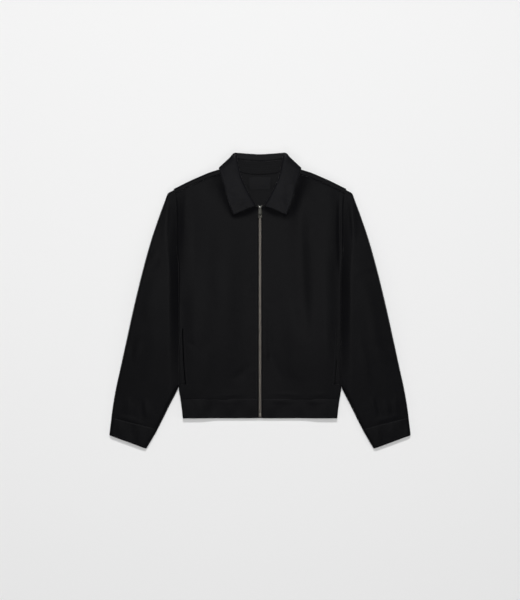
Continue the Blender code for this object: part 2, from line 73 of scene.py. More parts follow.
# %% [markdown]
# ## Sheets of cloth
# A cut piece of cloth is a sheet, so each one starts as a grid of points on its middle surface.
# The sizes stand in short tables, and a curve without overshoot fills in the rows and columns
# between them. Creases then move the points up or down, and a Solidify gives the sheet its wall.
# That keeps every fold where the cutter's sizes put it, and a cloth simulation would not.


# %% A smooth curve through rows of points
def through(values, places, at):
    """Values at other places, on a curve that keeps between its neighbours."""
    h = np.diff(places)[:, None]
    steps = np.diff(values, axis=0) / h
    before, after = steps[:-1], steps[1:]
    same = before * after > 0
    w1, w2 = 2 * h[1:] + h[:-1], h[1:] + 2 * h[:-1]
    safe = np.where(same, w1 * after + w2 * before, 1.0)
    inner = np.where(same, (w1 + w2) * before * after / safe, 0.0)
    slopes = np.concatenate([steps[:1], inner, steps[-1:]])
    i = np.clip(np.searchsorted(places, at, side="right") - 1, 0, len(places) - 2)
    t = ((at - places[i]) / h[i, 0])[:, None]
    lean = h[i] * (slopes[i] * (t**3 - 2 * t**2 + t) + slopes[i + 1] * (t**3 - t**2))
    return values[i] + (values[i + 1] - values[i]) * (3 * t**2 - 2 * t**3) + lean


def finer(grid, spacing, around=False):
    """A grid with rows added until neighbours are at most spacing apart."""
    shape = grid.shape[1:]
    if around:
        grid = np.concatenate([grid[-2:], grid, grid[:3]])
    gaps = np.linalg.norm(np.diff(grid[..., :3], axis=0), axis=2).mean(axis=1)
    places = np.concatenate([[0.0], np.cumsum(np.maximum(gaps, 1e-6))])
    spans = range(2, len(grid) - 3) if around else range(len(grid) - 1)
    at = [
        np.linspace(places[i], places[i + 1], math.ceil(gaps[i] / spacing), endpoint=False)
        for i in spans
    ]
    at = np.concatenate(at if around else [*at, places[-1:]])
    flat = through(grid.reshape(len(grid), -1), places, at)
    return flat.reshape(len(at), *shape)


def refined(rows, along, across, around=False):
    """Rows of points made dense both ways. around closes each row into a ring."""
    grid = finer(np.array(rows, float), along)
    return finer(grid.swapaxes(0, 1), across, around).swapaxes(0, 1)


def finer_line(points, spacing):
    """One line of points made dense."""
    return finer(np.array(points, float)[:, None, :], spacing)[:, 0, :]


# %% Small sums used by every piece
def ease(t):
    """A smooth step from 0 to 1."""
    t = np.clip(t, 0.0, 1.0)
    return t * t * (3 - 2 * t)


def share_of(value, low, high):
    return (value - low) / (high - low)


def read_off(table, at):
    """The value at a place, from a table of (place, value) rows."""
    return float(np.interp(at, *zip(*table)))


def mirrored(row, side):
    return [(side * p[0], *p[1:]) for p in row]


def triangles(obj):
    return sum(len(p.vertices) - 2 for p in obj.data.polygons)


# %% [markdown]
# ## Creases
# Each crease is one row of a table: where it starts and ends in plan, how far it bows to one
# side, its half width, and its height in millimetres, minus for a trough. It dies out at both
# ends, and lean makes one flank steeper, as a fold pushed from one side is.


# %% Height of a set of creases
def crease_height(x, y, creases):
    total = np.zeros_like(x)
    for x0, y0, x1, y1, bow, width, height, lean in creases:
        length = math.hypot(x1 - x0, y1 - y0)
        ux, uy = (x1 - x0) / length, (y1 - y0) / length
        t = ((x - x0) * ux + (y - y0) * uy) / length
        off = (y - y0) * ux - (x - x0) * uy - bow * 4 * t * (1 - t)
        fade = np.where((t > 0) & (t < 1), np.sin(np.pi * np.clip(t, 0, 1)) ** 0.8, 0.0)
        reach = width * (0.55 + 0.45 * fade) * np.where(off > 0, 1 + lean, 1 - lean)
        total += height * fade * np.exp(-((off / reach) ** 2))
    return total


def creased(grid, creases):
    """Moves a grid's points by their own share of the creases, which is its fourth column."""
    moved = grid.copy()
    moved[..., 2] += grid[..., 3] * crease_height(grid[..., 0], grid[..., 1], creases)
    return moved


# %% A cloth piece from its grid
def new_object(name, mesh, material):
    mesh.materials.clear()
    mesh.materials.append(material)
    obj = bpy.data.objects.new(name, mesh)
    bpy.context.scene.collection.objects.link(obj)
    return obj


def apply_modifiers(obj):
    """Turns what the modifiers make into the object's own mesh."""
    graph = bpy.context.evaluated_depsgraph_get()
    made = bpy.data.meshes.new_from_object(obj.evaluated_get(graph))
    obj.modifiers.clear()
    old, obj.data = obj.data, made
    bpy.data.meshes.remove(old)
    return obj


def sew(name, grid, wall, cloth, around=False):
    """A walled sheet from a grid, its rim rounded by one subdivision."""
    height, width = grid.shape[:2]
    across = width if around else width - 1
    i, j = np.meshgrid(np.arange(height - 1), np.arange(across), indexing="ij")
    k = (j + 1) % width
    corners = (i * width + j, i * width + k, (i + 1) * width + k, (i + 1) * width + j)
    faces = np.stack([c.ravel() for c in corners], axis=1)
    mesh = bpy.data.meshes.new(name)
    mesh.from_pydata((grid[..., :3].reshape(-1, 3) * MM).tolist(), [], faces.tolist())
    obj = new_object(name, mesh, cloth)
    solidify = obj.modifiers.new("wall", "SOLIDIFY")
    solidify.thickness = wall * MM
    solidify.offset = 0
    solidify.use_even_offset = True
    rounding = obj.modifiers.new("rim", "SUBSURF")
    rounding.levels = rounding.render_levels = 1
    apply_modifiers(obj)
    edit = bmesh.new()
    edit.from_mesh(obj.data)
    if edit.calc_volume(signed=True) < 0:
        bmesh.ops.reverse_faces(edit, faces=edit.faces)
    edit.to_mesh(obj.data)
    edit.free()
    obj.data.shade_smooth()
    print(name, "triangles:", triangles(obj))
    return obj


# %% [markdown]
# ## Finishes
# Everything that shows is black or nickel. The body's and the collar's cloth differ only in how
# deep their black is: the collar's lighter black is partly its own tone and partly painted light,
# as its leaves face up. The thread, the slits' painted shade, tape, label and metal also differ in
# roughness, shine and relief. Colours are written as sRGB hex values and turned to linear by one
# function.


# %% Colour and node helpers
def linear(colour):
    channels = [int(colour[i : i + 2], 16) / 255 for i in (1, 3, 5)]
    return [c / 12.92 if c <= 0.04045 else ((c + 0.055) / 1.055) ** 2.4 for c in channels] + [1.0]


def add(tree, kind, inputs=None, **settings):
    """Adds a node. An input is set to a value, or linked when it is another node's socket."""
    node = tree.nodes.new(kind)
    for key, value in settings.items():
        setattr(node, key, value)
    for key, value in (inputs or {}).items():
        if isinstance(value, bpy.types.NodeSocket):
            tree.links.new(value, node.inputs[key])
        else:
            node.inputs[key].default_value = value
    return node


def finish(name, roughness, **sockets):
    """A material with its Principled shader's own numbers set."""
    material = bpy.data.materials.new(name)
    material.use_nodes = True
    shader = material.node_tree.nodes["Principled BSDF"]
    shader.inputs["Roughness"].default_value = roughness
    for key, value in sockets.items():
        shader.inputs[key.replace("_", " ")].default_value = value
    return material, material.node_tree, shader


# %% [markdown]
# ### Black cotton twill
# Piece-dyed cotton twill is a matt cloth whose ribs run diagonally. Its fuzz gives it a weak
# sheen, it hardly shines when seen from above, and its dye is never quite even. The real ribs are
# 0.6 mm apart, and the camera sees 2.6 mm in a pixel, so they are drawn 1.6 mm apart. A slub, the
# uneven thickness of the yarn, is drawn over them at 5 mm.

# %% Twill
RIB_PITCH = 1.6
WAVE_BAND = 314  # how wide a wave texture's band is at scale 1, in mm


def twill(name, colour, dark):
    material, tree, shader = finish(
        name, 0.4, Sheen_Weight=0.1, Sheen_Roughness=0.3, Specular_IOR_Level=0.036
    )
    place = add(tree, "ShaderNodeTexCoord").outputs["Object"]
    turned = add(tree, "ShaderNodeMapping", {"Vector": place, "Rotation": (0, 0, math.radians(58))})
    ribs = add(
        tree, "ShaderNodeTexWave",
        {"Vector": turned.outputs[0], "Scale": WAVE_BAND / RIB_PITCH, "Distortion": 1.2},
    )
    slub = add(tree, "ShaderNodeTexNoise", {"Vector": place, "Scale": 190.0, "Detail": 3.0})
    dye = add(tree, "ShaderNodeTexNoise", {"Vector": place, "Scale": 9.0, "Detail": 2.0})
    mixed = add(tree, "ShaderNodeMath", {0: slub.outputs[0], 1: dye.outputs[0]}, operation="ADD")
    spread = add(tree, "ShaderNodeMapRange", {"Value": mixed.outputs[0], 1: 0.7, 2: 1.3})
    shade = add(
        tree, "ShaderNodeMix",
        {0: spread.outputs[0], 6: linear(dark), 7: linear(colour)}, data_type="RGBA",
    )
    tree.links.new(shade.outputs[2], shader.inputs["Base Color"])
    relief = add(
        tree, "ShaderNodeMath",
        {0: slub.outputs[0], 1: 1.4, 2: ribs.outputs[1]}, operation="MULTIPLY_ADD",
    )
    bump = add(
        tree, "ShaderNodeBump", {"Height": relief.outputs[0], "Strength": 0.4, "Distance": 0.0001}
    )
    tree.links.new(bump.outputs[0], shader.inputs["Normal"])
    return material


body_cloth = twill("black cotton twill", "#0b0b0d", "#08080a")
# The collar's lighter black is partly painted light, for its leaves that face up.
collar_cloth = twill("black cotton twill, interlined and pressed", "#141417", "#101012")

# %% [markdown]
# ### Thread, tape, label and metal
# Stitches are polyester thread, a little shinier than the cloth. A pocket's slit is a near-black
# strip of painted shade, which stands for the shadow inside the opening. The zip's tape is a dense
# woven polyester with fine ribs across it. The label is a smooth satin weave. The zip's metal is
# brass or zinc with a worn nickel plate, so it keeps a warm tint and has small scuffs.

# %% Thread, tape, label
TAPE_RIB = 1.1
LABEL_RIB = 0.9

thread, _, shader = finish("black polyester thread", 0.5, Specular_IOR_Level=0.06)
shader.inputs["Base Color"].default_value = linear("#1b1b1e")

# The slit's strip is painted shade: a near-black colour with no shine stands for the shadow in the
# slit.
slit_painted_shade, _, shader = finish(
    "painted shade in the pocket slit", 0.95, Specular_IOR_Level=0.0
)
shader.inputs["Base Color"].default_value = linear("#030304")

tape_cloth, tree, shader = finish("black woven zip tape", 0.75, Specular_IOR_Level=0.3)
shader.inputs["Base Color"].default_value = linear("#1d1916")
place = add(tree, "ShaderNodeTexCoord").outputs["Object"]
ribs = add(
    tree, "ShaderNodeTexWave", {"Vector": place, "Scale": WAVE_BAND / TAPE_RIB}, bands_direction="Y"
)
bump = add(tree, "ShaderNodeBump", {"Height": ribs.outputs[1], "Strength": 0.6, "Distance": 0.0002})
tree.links.new(bump.outputs[0], shader.inputs["Normal"])

label_cloth, tree, shader = finish("black satin label", 0.45, Specular_IOR_Level=0.05)
shader.inputs["Base Color"].default_value = linear("#121214")
place = add(tree, "ShaderNodeTexCoord").outputs["Object"]
weave = add(
    tree, "ShaderNodeTexWave",
    {"Vector": place, "Scale": WAVE_BAND / LABEL_RIB, "Distortion": 0.6}, bands_direction="Y",
)
bump = add(
    tree, "ShaderNodeBump", {"Height": weave.outputs[1], "Strength": 0.4, "Distance": 0.00012}
)
tree.links.new(bump.outputs[0], shader.inputs["Normal"])


# %% Nickel plate on brass and zinc
def nickel(name, colour, worn, roughness):
    material, tree, shader = finish(name, roughness, Metallic=1.0)
    place = add(tree, "ShaderNodeTexCoord").outputs["Object"]
    scuffs = add(tree, "ShaderNodeTexNoise", {"Vector": place, "Scale": 700.0, "Detail": 4.0})
    shade = add(
        tree, "ShaderNodeMix",
        {0: scuffs.outputs[0], 6: linear(worn), 7: linear(colour)}, data_type="RGBA",
    )
    tree.links.new(shade.outputs[2], shader.inputs["Base Color"])
    bump = add(
        tree, "ShaderNodeBump", {"Height": scuffs.outputs[0], "Strength": 0.25, "Distance": 0.0001}
    )
    tree.links.new(bump.outputs[0], shader.inputs["Normal"])
    return material


teeth_metal = nickel("nickel-plated brass teeth", "#6b6761", "#3f3b38", 0.42)
pull_metal = nickel("nickel-plated zinc pull", "#42423e", "#2c2b29", 0.4)
slider_metal = nickel("nickel-plated zinc slider", "#4f4f4b", "#363533", 0.4)
# The bridge's light nickel is a painted highlight for the light that its top catches.
bridge_painted_highlight = nickel("nickel-plated zinc bridge, lighter as a painted highlight", "#b4b4b0", "#86857f", 0.36)
print("finishes:", len(bpy.data.materials))

# %% [markdown]
# ## The body's sizes
# One table gives the body's side at each height, from the waistband's seam up to the shoulder:
# half width, how many degrees the edge turns under, how far it then runs on, and the front's height
# over the layers tucked in beside it. Sizes are in millimetres, and heights go up from the table.

# %% Sizes of the body
CLOTH = 1.4  # the wall of one layer
DOUBLED = 1.9  # the wall of a doubled piece
BACK_Z = 0.75  # the middle of the back's wall
LOFT = 3.75  # how far the front lies above the back at the zip
GAP = 0.3  # between two pieces at a seam
CHEST_OUT = 211.5  # half the width at the chest
STRAIGHT_TOP_Y, FRONT_TOP_Y = 175.0, 280.0  # between these, rows bend towards neck and shoulder
SHOULDER_TIP = (226.0, 290.5)
SHOULDER_WRAP = 13.0  # how far the back comes forward over the shoulder
ZIP_EDGE = 3.6
RAMP = (40.0, 190.0)  # where the front climbs over the tucked layers
SHOWN_RETURN = 30.0  # the rest of a turned side is hidden in the tuck
FRONT_ROLL, BACK_ROLL = 1.3, 1.15  # radii of the side folds
BACK_INSET = 1.2  # how far the back's fold lies inside the front's
SIDE_COLUMNS = ("y", "out", "turn", "run", "top")
SIDE_ROWS = (
    (-257.6, 206.4, 180, 43.0, 8.4),
    (-251.0, 207.5, 180, 43.0, 8.8),
    (-223.0, 211.4, 180, 49.0, 9.8),
    (-150.0, 211.5, 180, 60.0, 11.0),
    (-75.0, 211.5, 180, 68.0, 11.3),
    (0.0, 211.5, 180, 76.0, 11.3),
    (40.0, 211.5, 180, 80.3, 11.3),
    (58.0, 211.5, 180, 82.2, 11.3),
    (63.0, 211.6, 180, 49.0, 11.3),
    (80.0, 212.0, 180, 21.0, 11.3),
    (108.0, 214.0, 172, 1.6, 11.2),
    (132.0, 216.5, 90, 0.6, 10.8),
    (150.0, 217.0, 50, 0.8, 9.8),
    (STRAIGHT_TOP_Y, 217.0, 24, 1.2, 8.6),
    (225.0, 217.5, 14, 1.2, 7.4),
    (255.0, 218.5, 12, 1.2, 7.0),
    (268.0, 219.8, 8, 1.2, 6.8),
    (FRONT_TOP_Y, 221.5, 4, 1.2, 6.6),
)
side_table = np.array(SIDE_ROWS)


def side_value(column, y):
    return np.interp(y, side_table[:, 0], side_table[:, SIDE_COLUMNS.index(column)])


def back_height(out, y):
    """The back rises a little where the collar's leaf lies below it."""
    return BACK_Z + 2.3 * ease(share_of(y, 280, 308)) * (1 - ease(share_of(out, 108, 153)))


def front_height(out, y):
    rise = side_value("top", y) - BACK_Z - LOFT
    return back_height(out, y) + LOFT + rise * ease(share_of(out, *RAMP))


# %% Round folds
def bend(start, heading, turn, length, steps=6):
    """Points along an arc that turns by turn over its length, and its heading at the end."""
    points, point = [], np.array(start, float)
    for step in range(steps):
        middle = heading + turn * (step + 0.5) / steps
        chord = 2 * math.sin(turn / steps / 2) / (turn / steps) if turn else 1.0
        point = point + length / steps * chord * np.array([math.cos(middle), math.sin(middle)])
        points.append(point)
    return points, heading + turn


def bend_reach(turn, length, run):
    if not turn:
        return length + run
    return length / turn * math.sin(min(turn, math.pi / 2)) + max(0.0, run * math.cos(turn))


def side_edge(row, out, z, sense, radius):
    """(out, z) of a panel's edge. The front's turns down, and the back's up."""
    values = dict(zip(SIDE_COLUMNS, row))
    turn, run = math.radians(values["turn"]), min(values["run"], SHOWN_RETURN)
    length = math.pi * radius
    start = (out - bend_reach(turn, length, run), z)
    points, heading = bend(start, 0.0, sense * turn, length)
    direction = np.array([math.cos(heading), math.sin(heading)])
    points += [points[-1] + share * run * direction for share in (0.5, 1.0)]
    return [start, *points]


# %% [markdown]
# ## Front panels
# Each front runs from the zip to the side, where it rolls under and back in. Above, it ends in the
# neck edge, which the collar hides, and in a shoulder seam that sits 13 mm forward of the
# shoulder. Two thicknesses lie under its outer third, so it steps up there and drapes in long
# soft folds. The fourth value of a point is its share of the creases: none on the rolled edge.

# %% Front grid
NECK_AND_SHOULDER = (
    # low_out, top_out, top_y: no top_y ends the column on the shoulder seam
    (ZIP_EDGE, ZIP_EDGE, 243.0), (22.0, 20.0, 248.0), (42.0, 40.0, 258.0), (60.0, 56.0, 272.0),
    (76.0, 67.0, 288.0), (90.0, 75.0, 306.0), (104.0, 78.5, 322.0), (118.0, 77.0, None),
    (132.0, 106.0, None), (146.0, 133.0, None), (160.0, 158.0, None), (175.0, 182.0, None),
    (190.0, 201.0, None), (203.0, 213.0, None),
)
SHOULDER_OUTLINE = (
    (0.0, 326.6), (25.0, 327.3), (49.0, 332.0), (66.0, 341.0), (77.0, 350.0), (84.5, 347.8),
    (93.0, 345.4), (107.0, 341.4), (130.0, 334.4), (155.0, 324.2), (179.0, 313.6), (200.0, 303.4),
    (214.0, 296.3), SHOULDER_TIP,
)


LOOSE_Y = (118, 160)  # over this height the side's edge stops being rolled under
ROLL_SHARES = (1.0, 0.6, 0.0)  # shares of the creases, from where the roll begins


def shoulder_line(out):
    return read_off(SHOULDER_OUTLINE, out) - BACK_Z


def front_shoulder_y(out):
    return shoulder_line(out) - SHOULDER_WRAP - GAP


def lower_out(low_out, row_out):
    """The zip's edge stays straight, and the other columns spread with the row."""
    return low_out if low_out <= ZIP_EDGE else low_out * row_out / CHEST_OUT


def above_straight(y):
    """0 up to the top of the straight rows, and 1 at the shoulder's row."""
    return max(0.0, share_of(y, STRAIGHT_TOP_Y, FRONT_TOP_Y))


def raised(y, top_y):
    """Where a row of the table lies in a column that ends at top_y."""
    share = above_straight(y)
    return y if share == 0 else STRAIGHT_TOP_Y + share * (top_y - STRAIGHT_TOP_Y)


def front_grid():
    rows = []
    for row in SIDE_ROWS:
        y, out = row[0], row[1] - BACK_Z
        share = above_straight(y)
        points = []
        for low_out, top_out, top_y in NECK_AND_SHOULDER:
            x = lower_out(low_out, row[1]) if share == 0 else low_out
            x += share * (top_out - low_out)
            up = raised(y, top_y or front_shoulder_y(top_out))
            points.append((x, up, front_height(x, up), 1.0))
        loose = ease(share_of(y, *LOOSE_Y))
        edge = side_edge(row, out, front_height(out, y), -1, FRONT_ROLL)
        for n, (x, z) in enumerate(edge):
            up = raised(y, front_shoulder_y(x))
            points.append((x, up, z, max(loose, ROLL_SHARES[min(n, 2)])))
        rows.append(points)
    return refined(rows, 5.5, 5.0)


# %% Creases of the fronts
# The right front, as seen, has a trough and a ridge beside its armhole, and broad folds below the
# collar. The left is flatter. Small puckers sit along the zip, where the tape has shrunk a little.
FRONT_CREASES = {
    1: (
        # x0, y0, x1, y1, bow, half width, height, lean
        (206, 272, 208, 66, -1, 4.0, -1.9, 0.1), (99, 356, 62, 212, 3, 14, 5.0, 0.5),
        (72, 227, 0, 257, 2, 11, 4.0, 0),
        (100, 350, 60, 206, 4, 28, 2.2, 0.2), (76, 234, 2, 262, 0, 24, 2.0, 0),
        (174, 306, 194, 96, 5, 22, 1.5, 0), (106, 300, 124, -110, -9, 26, -3.2, -0.2),
        (172, 120, 176, -130, 4, 24, 0.3, 0.2),
        (152, 40, 150, -228, -4, 14, -0.6, 0.1), (26, -30, 27, -166, -2, 6, -0.7, 0.2),
        (24, -120, 60, -210, -5, 11, -0.7, 0.3), (11, 40, 10, -240, 1, 5, 0.5, 0.1),
        (12, -134, 20, -150, 0, 5, 0.6, 0), (88, 0, 84, -200, 3, 24, 0.9, 0.1),
        (78, -140, 110, -212, -5, 18, 0.4, 0.2), (20, -243, 120, -246, 1, 4, 0.5, 0),
        (124, -246, 180, -244, 1, 4, 0.4, 0),
        (7, 12, 30, 4, 2, 5, 0.4, 0), (7, -10, 30, -22, -2, 5, 0.4, 0),
        (7, -122, 34, -136, -3, 6, 0.5, 0),
    ),
    -1: (
        (-188, 330, -208, -10, 3, 25, 2.9, 0.3), (-221, 306, -216, 96, 2, 12, -0.8, 0),
        (-100, 356, -64, 215, 2, 13, 4.6, -0.2), (-104, 352, -66, 216, 0, 30, 2.4, 0),
        (-78, 236, -2, 264, 0, 26, 3.0, 0),
        (-74, 224, -1, 254, 2, 12, 5.0, 0), (-144, 90, -154, -120, 6, 30, 0.9, 0.1),
        (-104, 200, -104, -30, -6, 24, -0.7, 0.2), (-86, 120, -92, -190, 8, 26, 0.6, -0.1),
        (-30, -160, -78, -206, 8, 13, -0.8, 0.3), (-124, -110, -140, -222, -5, 15, 0.5, 0.1),
        (-26, -243, -110, -246, 1, 4, 0.5, 0), (-34, -236, -96, -238, 1, 4, 0.3, 0),
        (-7, 66, -34, 78, 2, 5, 0.5, 0), (-7, 30, -32, 38, 2, 5, 0.5, 0.1),
        (-7, 4, -30, 14, -1, 4, 0.5, 0),
        (-7, -12, -26, -6, 1, 4, 0.4, 0), (-7, -70, -30, -58, 2, 5, 0.4, 0),
        (-7, -180, -36, -196, -2, 6, 0.4, 0),
        (-190, -108, -168, -122, 2, 6, -0.5, 0), (-60, -150, -84, -142, 2, 5, 0.4, 0),
    ),
}


FRONT_AIR = 2.6


def body_loft(grid):
    """The trapped air that lifts the middle of a front, less towards its seams."""
    out, y = np.abs(grid[..., 0]), grid[..., 1]
    across = ease(share_of(out, 6, 90)) * (1 - ease(share_of(out, 165, 208)))
    along = ease(share_of(y, -255, -80)) * (1 - ease(share_of(y, 150, 275)))
    return grid[..., 3] * FRONT_AIR * across * along


fronts = {}
for side, word in ((-1, "left"), (1, "right")):
    grid = front_grid()
    grid[..., 0] *= side
    grid[..., 2] += body_loft(grid)
    grid = creased(grid, FRONT_CREASES[side])
    fronts[side] = sew(f"front_panel_{word}", grid, CLOTH, body_cloth)

# %% [markdown]
# ## Back panel
# The back lies flat on the table. Its sides roll up and in, its shoulders wrap over to the front,
# and inside the neck its face shows. Where it isn't pressed down, it lifts off the table in long
# shallow creases, which show from below.

# %% Back grid
BACK_COLUMNS = (
    (0.0, 0), (25.0, 0), (49.0, 0), (66.0, 0), (77.0, 0), (84.5, 90), (93.0, 180), (107.0, 180),
    (130.0, 180), (155.0, 180), (179.0, 180), (200.0, 180), (214.0, 180),
)
BACK_LOW_OUTS = (0.0, 25.0, 49.0, 66.0, 77.0, 86.0, 98.0, 112.0, 134.0, 158.0, 180.0, 195.0, 203.0)


def shoulder_wrap(x, z, top_y, over):
    turn = math.radians(over)
    radius = (front_height(x, top_y - SHOULDER_WRAP) - z) / 2
    length = max(turn, 1.0) * radius
    run = SHOULDER_WRAP - radius if over == 180 else 0.6
    start = (top_y - bend_reach(turn, length, run), z)
    points, heading = bend(start, 0.0, turn, length)
    direction = np.array([math.cos(heading), math.sin(heading)])
    points += [points[-1] + share * run * direction for share in (0.5, 1.0)]
    return [(x, start[0], z, 0.0)] + [(x, py, pz, 0.0) for py, pz in points]


def back_column(low_out, top_out, over):
    top_y = shoulder_line(top_out) + (0.0 if over else BACK_Z)
    end = shoulder_wrap(top_out, back_height(top_out, top_y), top_y, over)
    points = []
    for row in SIDE_ROWS[:-1]:
        share = above_straight(row[0])
        x = low_out * row[1] / CHEST_OUT if share == 0 else low_out + share * (top_out - low_out)
        y = raised(row[0], end[0][1])
        points.append((x, y, back_height(x, y), 1.0 if row[0] < 260 else 0.4))
    return points + end


def back_edge_columns():
    widening = SHOULDER_TIP[0] - SIDE_ROWS[-1][1]
    edges = []
    for row in SIDE_ROWS:
        out = row[1] - BACK_INSET - BACK_Z + above_straight(row[0]) * widening
        edges.append((row[0], side_edge(row, out, BACK_Z, 1, BACK_ROLL)))
    columns = []
    for j in range(len(edges[0][1])):
        x, z = edges[-1][1][j]
        end = shoulder_wrap(x, z, shoulder_line(x), 180)
        points = [(edge[j][0], raised(y, end[0][1]), edge[j][1], 0.0) for y, edge in edges[:-1]]
        columns.append(points + end)
    return columns


def back_grid():
    half = [back_column(low, top, over) for low, (top, over) in zip(BACK_LOW_OUTS, BACK_COLUMNS)]
    half += back_edge_columns()
    rows = [list(points) for points in zip(*half)]
    return refined([mirrored(row[:0:-1], -1) + row for row in rows], 6.5, 6.0)


# %% Creases of the back
BACK_CREASES = (
    (-150, 240, -120, -60, 10, 12, 1.1, 0.2), (-60, 190, -80, -120, -8, 14, 0.9, -0.2),
    (40, 220, 66, -20, 8, 12, 1.0, 0.1), (128, 230, 104, -90, -9, 13, 1.2, 0.2),
    (176, 120, 168, -190, 5, 10, 1.0, -0.1), (-182, 90, -176, -180, -5, 10, 1.1, 0.1),
    (-30, -20, 44, -180, 10, 12, 0.8, 0.3), (-120, -110, -40, -225, -9, 11, 1.0, -0.2),
    (80, -120, 140, -228, 8, 11, 0.9, 0.2), (-20, 268, 60, 258, -3, 6, 0.7, 0.1),
)
back = sew("back_panel", creased(back_grid(), BACK_CREASES), CLOTH, body_cloth)

# %% [markdown]
# ## Sleeves and cuffs
# A sleeve is a tube pressed flat, so it is made of closed rings: each has an outer and an inner
# edge in plan, a floor height, and a spacing between its two layers. Beside the body it is
# squeezed into the tuck, and out on the table it keeps some air. Its first ring follows the
# armhole, and the rings straighten towards the cuff.

# %% Rings
SLEEVE_RINGS = (
    # outer_out, outer_y, inner_out, inner_y, straight
    (214.0, 291.5, 126.5, 63.0, 0.0), (224.5, 287.2, 128.5, 58.0, 0.0),
    (231.5, 283.8, 129.5, 53.0, 0.0),
    (238.8, 279.6, 132.0, 44.0, 0.05), (246.0, 262.0, 136.5, 28.0, 0.15),
    (261.3, 221.0, 143.0, 6.0, 0.4),
    (283.3, 156.0, 152.0, -22.0, 0.7), (305.8, 75.0, 163.0, -60.0, 0.93),
    (330.0, -25.0, 178.0, -110.0, 1.0),
    (348.6, -110.0, 193.0, -162.0, 1.0), (363.8, -180.0, 212.1, -223.0, 1.0),
    (376.3, -238.0, 238.7, -277.0, 1.0),
    (385.2, -294.0, 262.4, -325.0, 1.0), (386.6, -306.6, 268.6, -336.6, 1.0),
)
CUFF_RINGS = (
    (386.0, -304.0, 266.8, -333.7, 1.0), (388.8, -327.0, 281.8, -359.5, 1.0),
    (391.6, -350.2, 297.0, -385.0, 1.0),
)
ARMHOLE = (
    (224.5, 287.3), (219.3, 280.0), (216.2, 255.0), (215.2, 225.0), (214.7, 175.0), (214.5, 150.0),
    (213.8, 132.0), (211.0, 108.0), (190.5, 80.5), (162.0, 63.5), (128.5, 58.0),
)
# How high the sleeve's floor lies where it is tucked into the body, by the place up the body.
TUCKED = (
    (-260.0, 2.4), (-223.0, 4.9), (132.0, 4.9), (150.0, 4.5), (175.0, 3.4), (225.0, 2.75),
    (290.0, 2.75),
)
TUCKED_SPACING = 1.9
# How much air the sleeve holds, by its distance from the cuff's seam.
PUFF = (
    (-6.0, 3.85), (0.0, 3.95), (12.0, 4.4), (60.0, 5.6), (130.0, 7.8), (220.0, 10.6), (300.0, 12.6),
    (370.0, 13.2), (440.0, 11.6), (520.0, 8.4), (580.0, 6.3),
)
FLOOR_REACHED = 16  # this far past the body's side, the sleeve's floor is down on the table
SWELL = (-2, 25)  # over this stretch past the body's side, its top rises to its full height
SWELL_POWER = 1.2
CUFF_SEAM, CUFF_SEAM_NORMAL = (386.0, -303.6), (-0.2425, 0.970)
OUTER_RIM, INNER_RIM = 4.5, 9.0  # how far in from each fold the tube is round
OUTER_SLOPE, OUTER_SLOPE_SHARE = 100, 0.2  # the slow fall to the outer fold: its width, its share

# Two more points near each end let the folds turn in a small radius.
armhole = finer_line(ARMHOLE, 9.0)
fold_points = [
    [armhole[i] + t * (armhole[j] - armhole[i]) for t in (0.45, 0.72)]
    for i, j in ((0, 1), (-1, -2))
]
armhole = np.concatenate([
    armhole[:1], fold_points[0], armhole[1:-1], fold_points[1][::-1], armhole[-1:],
])
armhole_steps = np.linalg.norm(np.diff(armhole, axis=0), axis=1)
armhole_share = np.concatenate([[0.0], np.cumsum(armhole_steps)])
armhole_share /= armhole_share[-1]


def sleeve_floor(out, y):
    past = out - side_value("out", y)
    tucked = read_off(TUCKED, y)
    return BACK_Z + (tucked - BACK_Z) * (1 - ease(share_of(past, 0, FLOOR_REACHED)))


def rounded_rim(from_edge, over):
    """1 inside, falling to 0 at the fold like a quarter circle."""
    return math.sqrt(max(0.0, 1 - max(0.0, 1 - from_edge / over) ** 2))


def sleeve_spacing(out, y, from_outer, from_inner):
    """Pressed beside the body, fullest just past it, and thinner towards the outer fold."""
    normal_out, normal_y = CUFF_SEAM_NORMAL
    from_seam = normal_y * (y - CUFF_SEAM[1]) + normal_out * (out - CUFF_SEAM[0])
    tucked = read_off(TUCKED, y)
    rise = BACK_Z + read_off(PUFF, from_seam) - tucked
    past = out - side_value("out", y)
    swell = float(np.clip(share_of(past, *SWELL), 0, 1))
    top = tucked + rise * (1 - (1 - swell) ** SWELL_POWER)
    far = min(1.0, from_outer / OUTER_SLOPE)
    outer = (1 - OUTER_SLOPE_SHARE) * rounded_rim(from_outer, OUTER_RIM)
    outer += OUTER_SLOPE_SHARE * far * (2 - far)
    inner = rounded_rim(from_inner, INNER_RIM)
    return TUCKED_SPACING + (top - sleeve_floor(out, y)) * outer * inner


CUFF_Z = 1.02
CUFF_EDGE_SPACING = TUCKED_SPACING + 0.6
CUFF_AIR = 3.4


def cuff_floor(_out, _y):
    return CUFF_Z


def cuff_spacing(_out, _y, from_outer, from_inner):
    return CUFF_EDGE_SPACING + CUFF_AIR * rounded_rim(min(from_outer, from_inner), INNER_RIM)


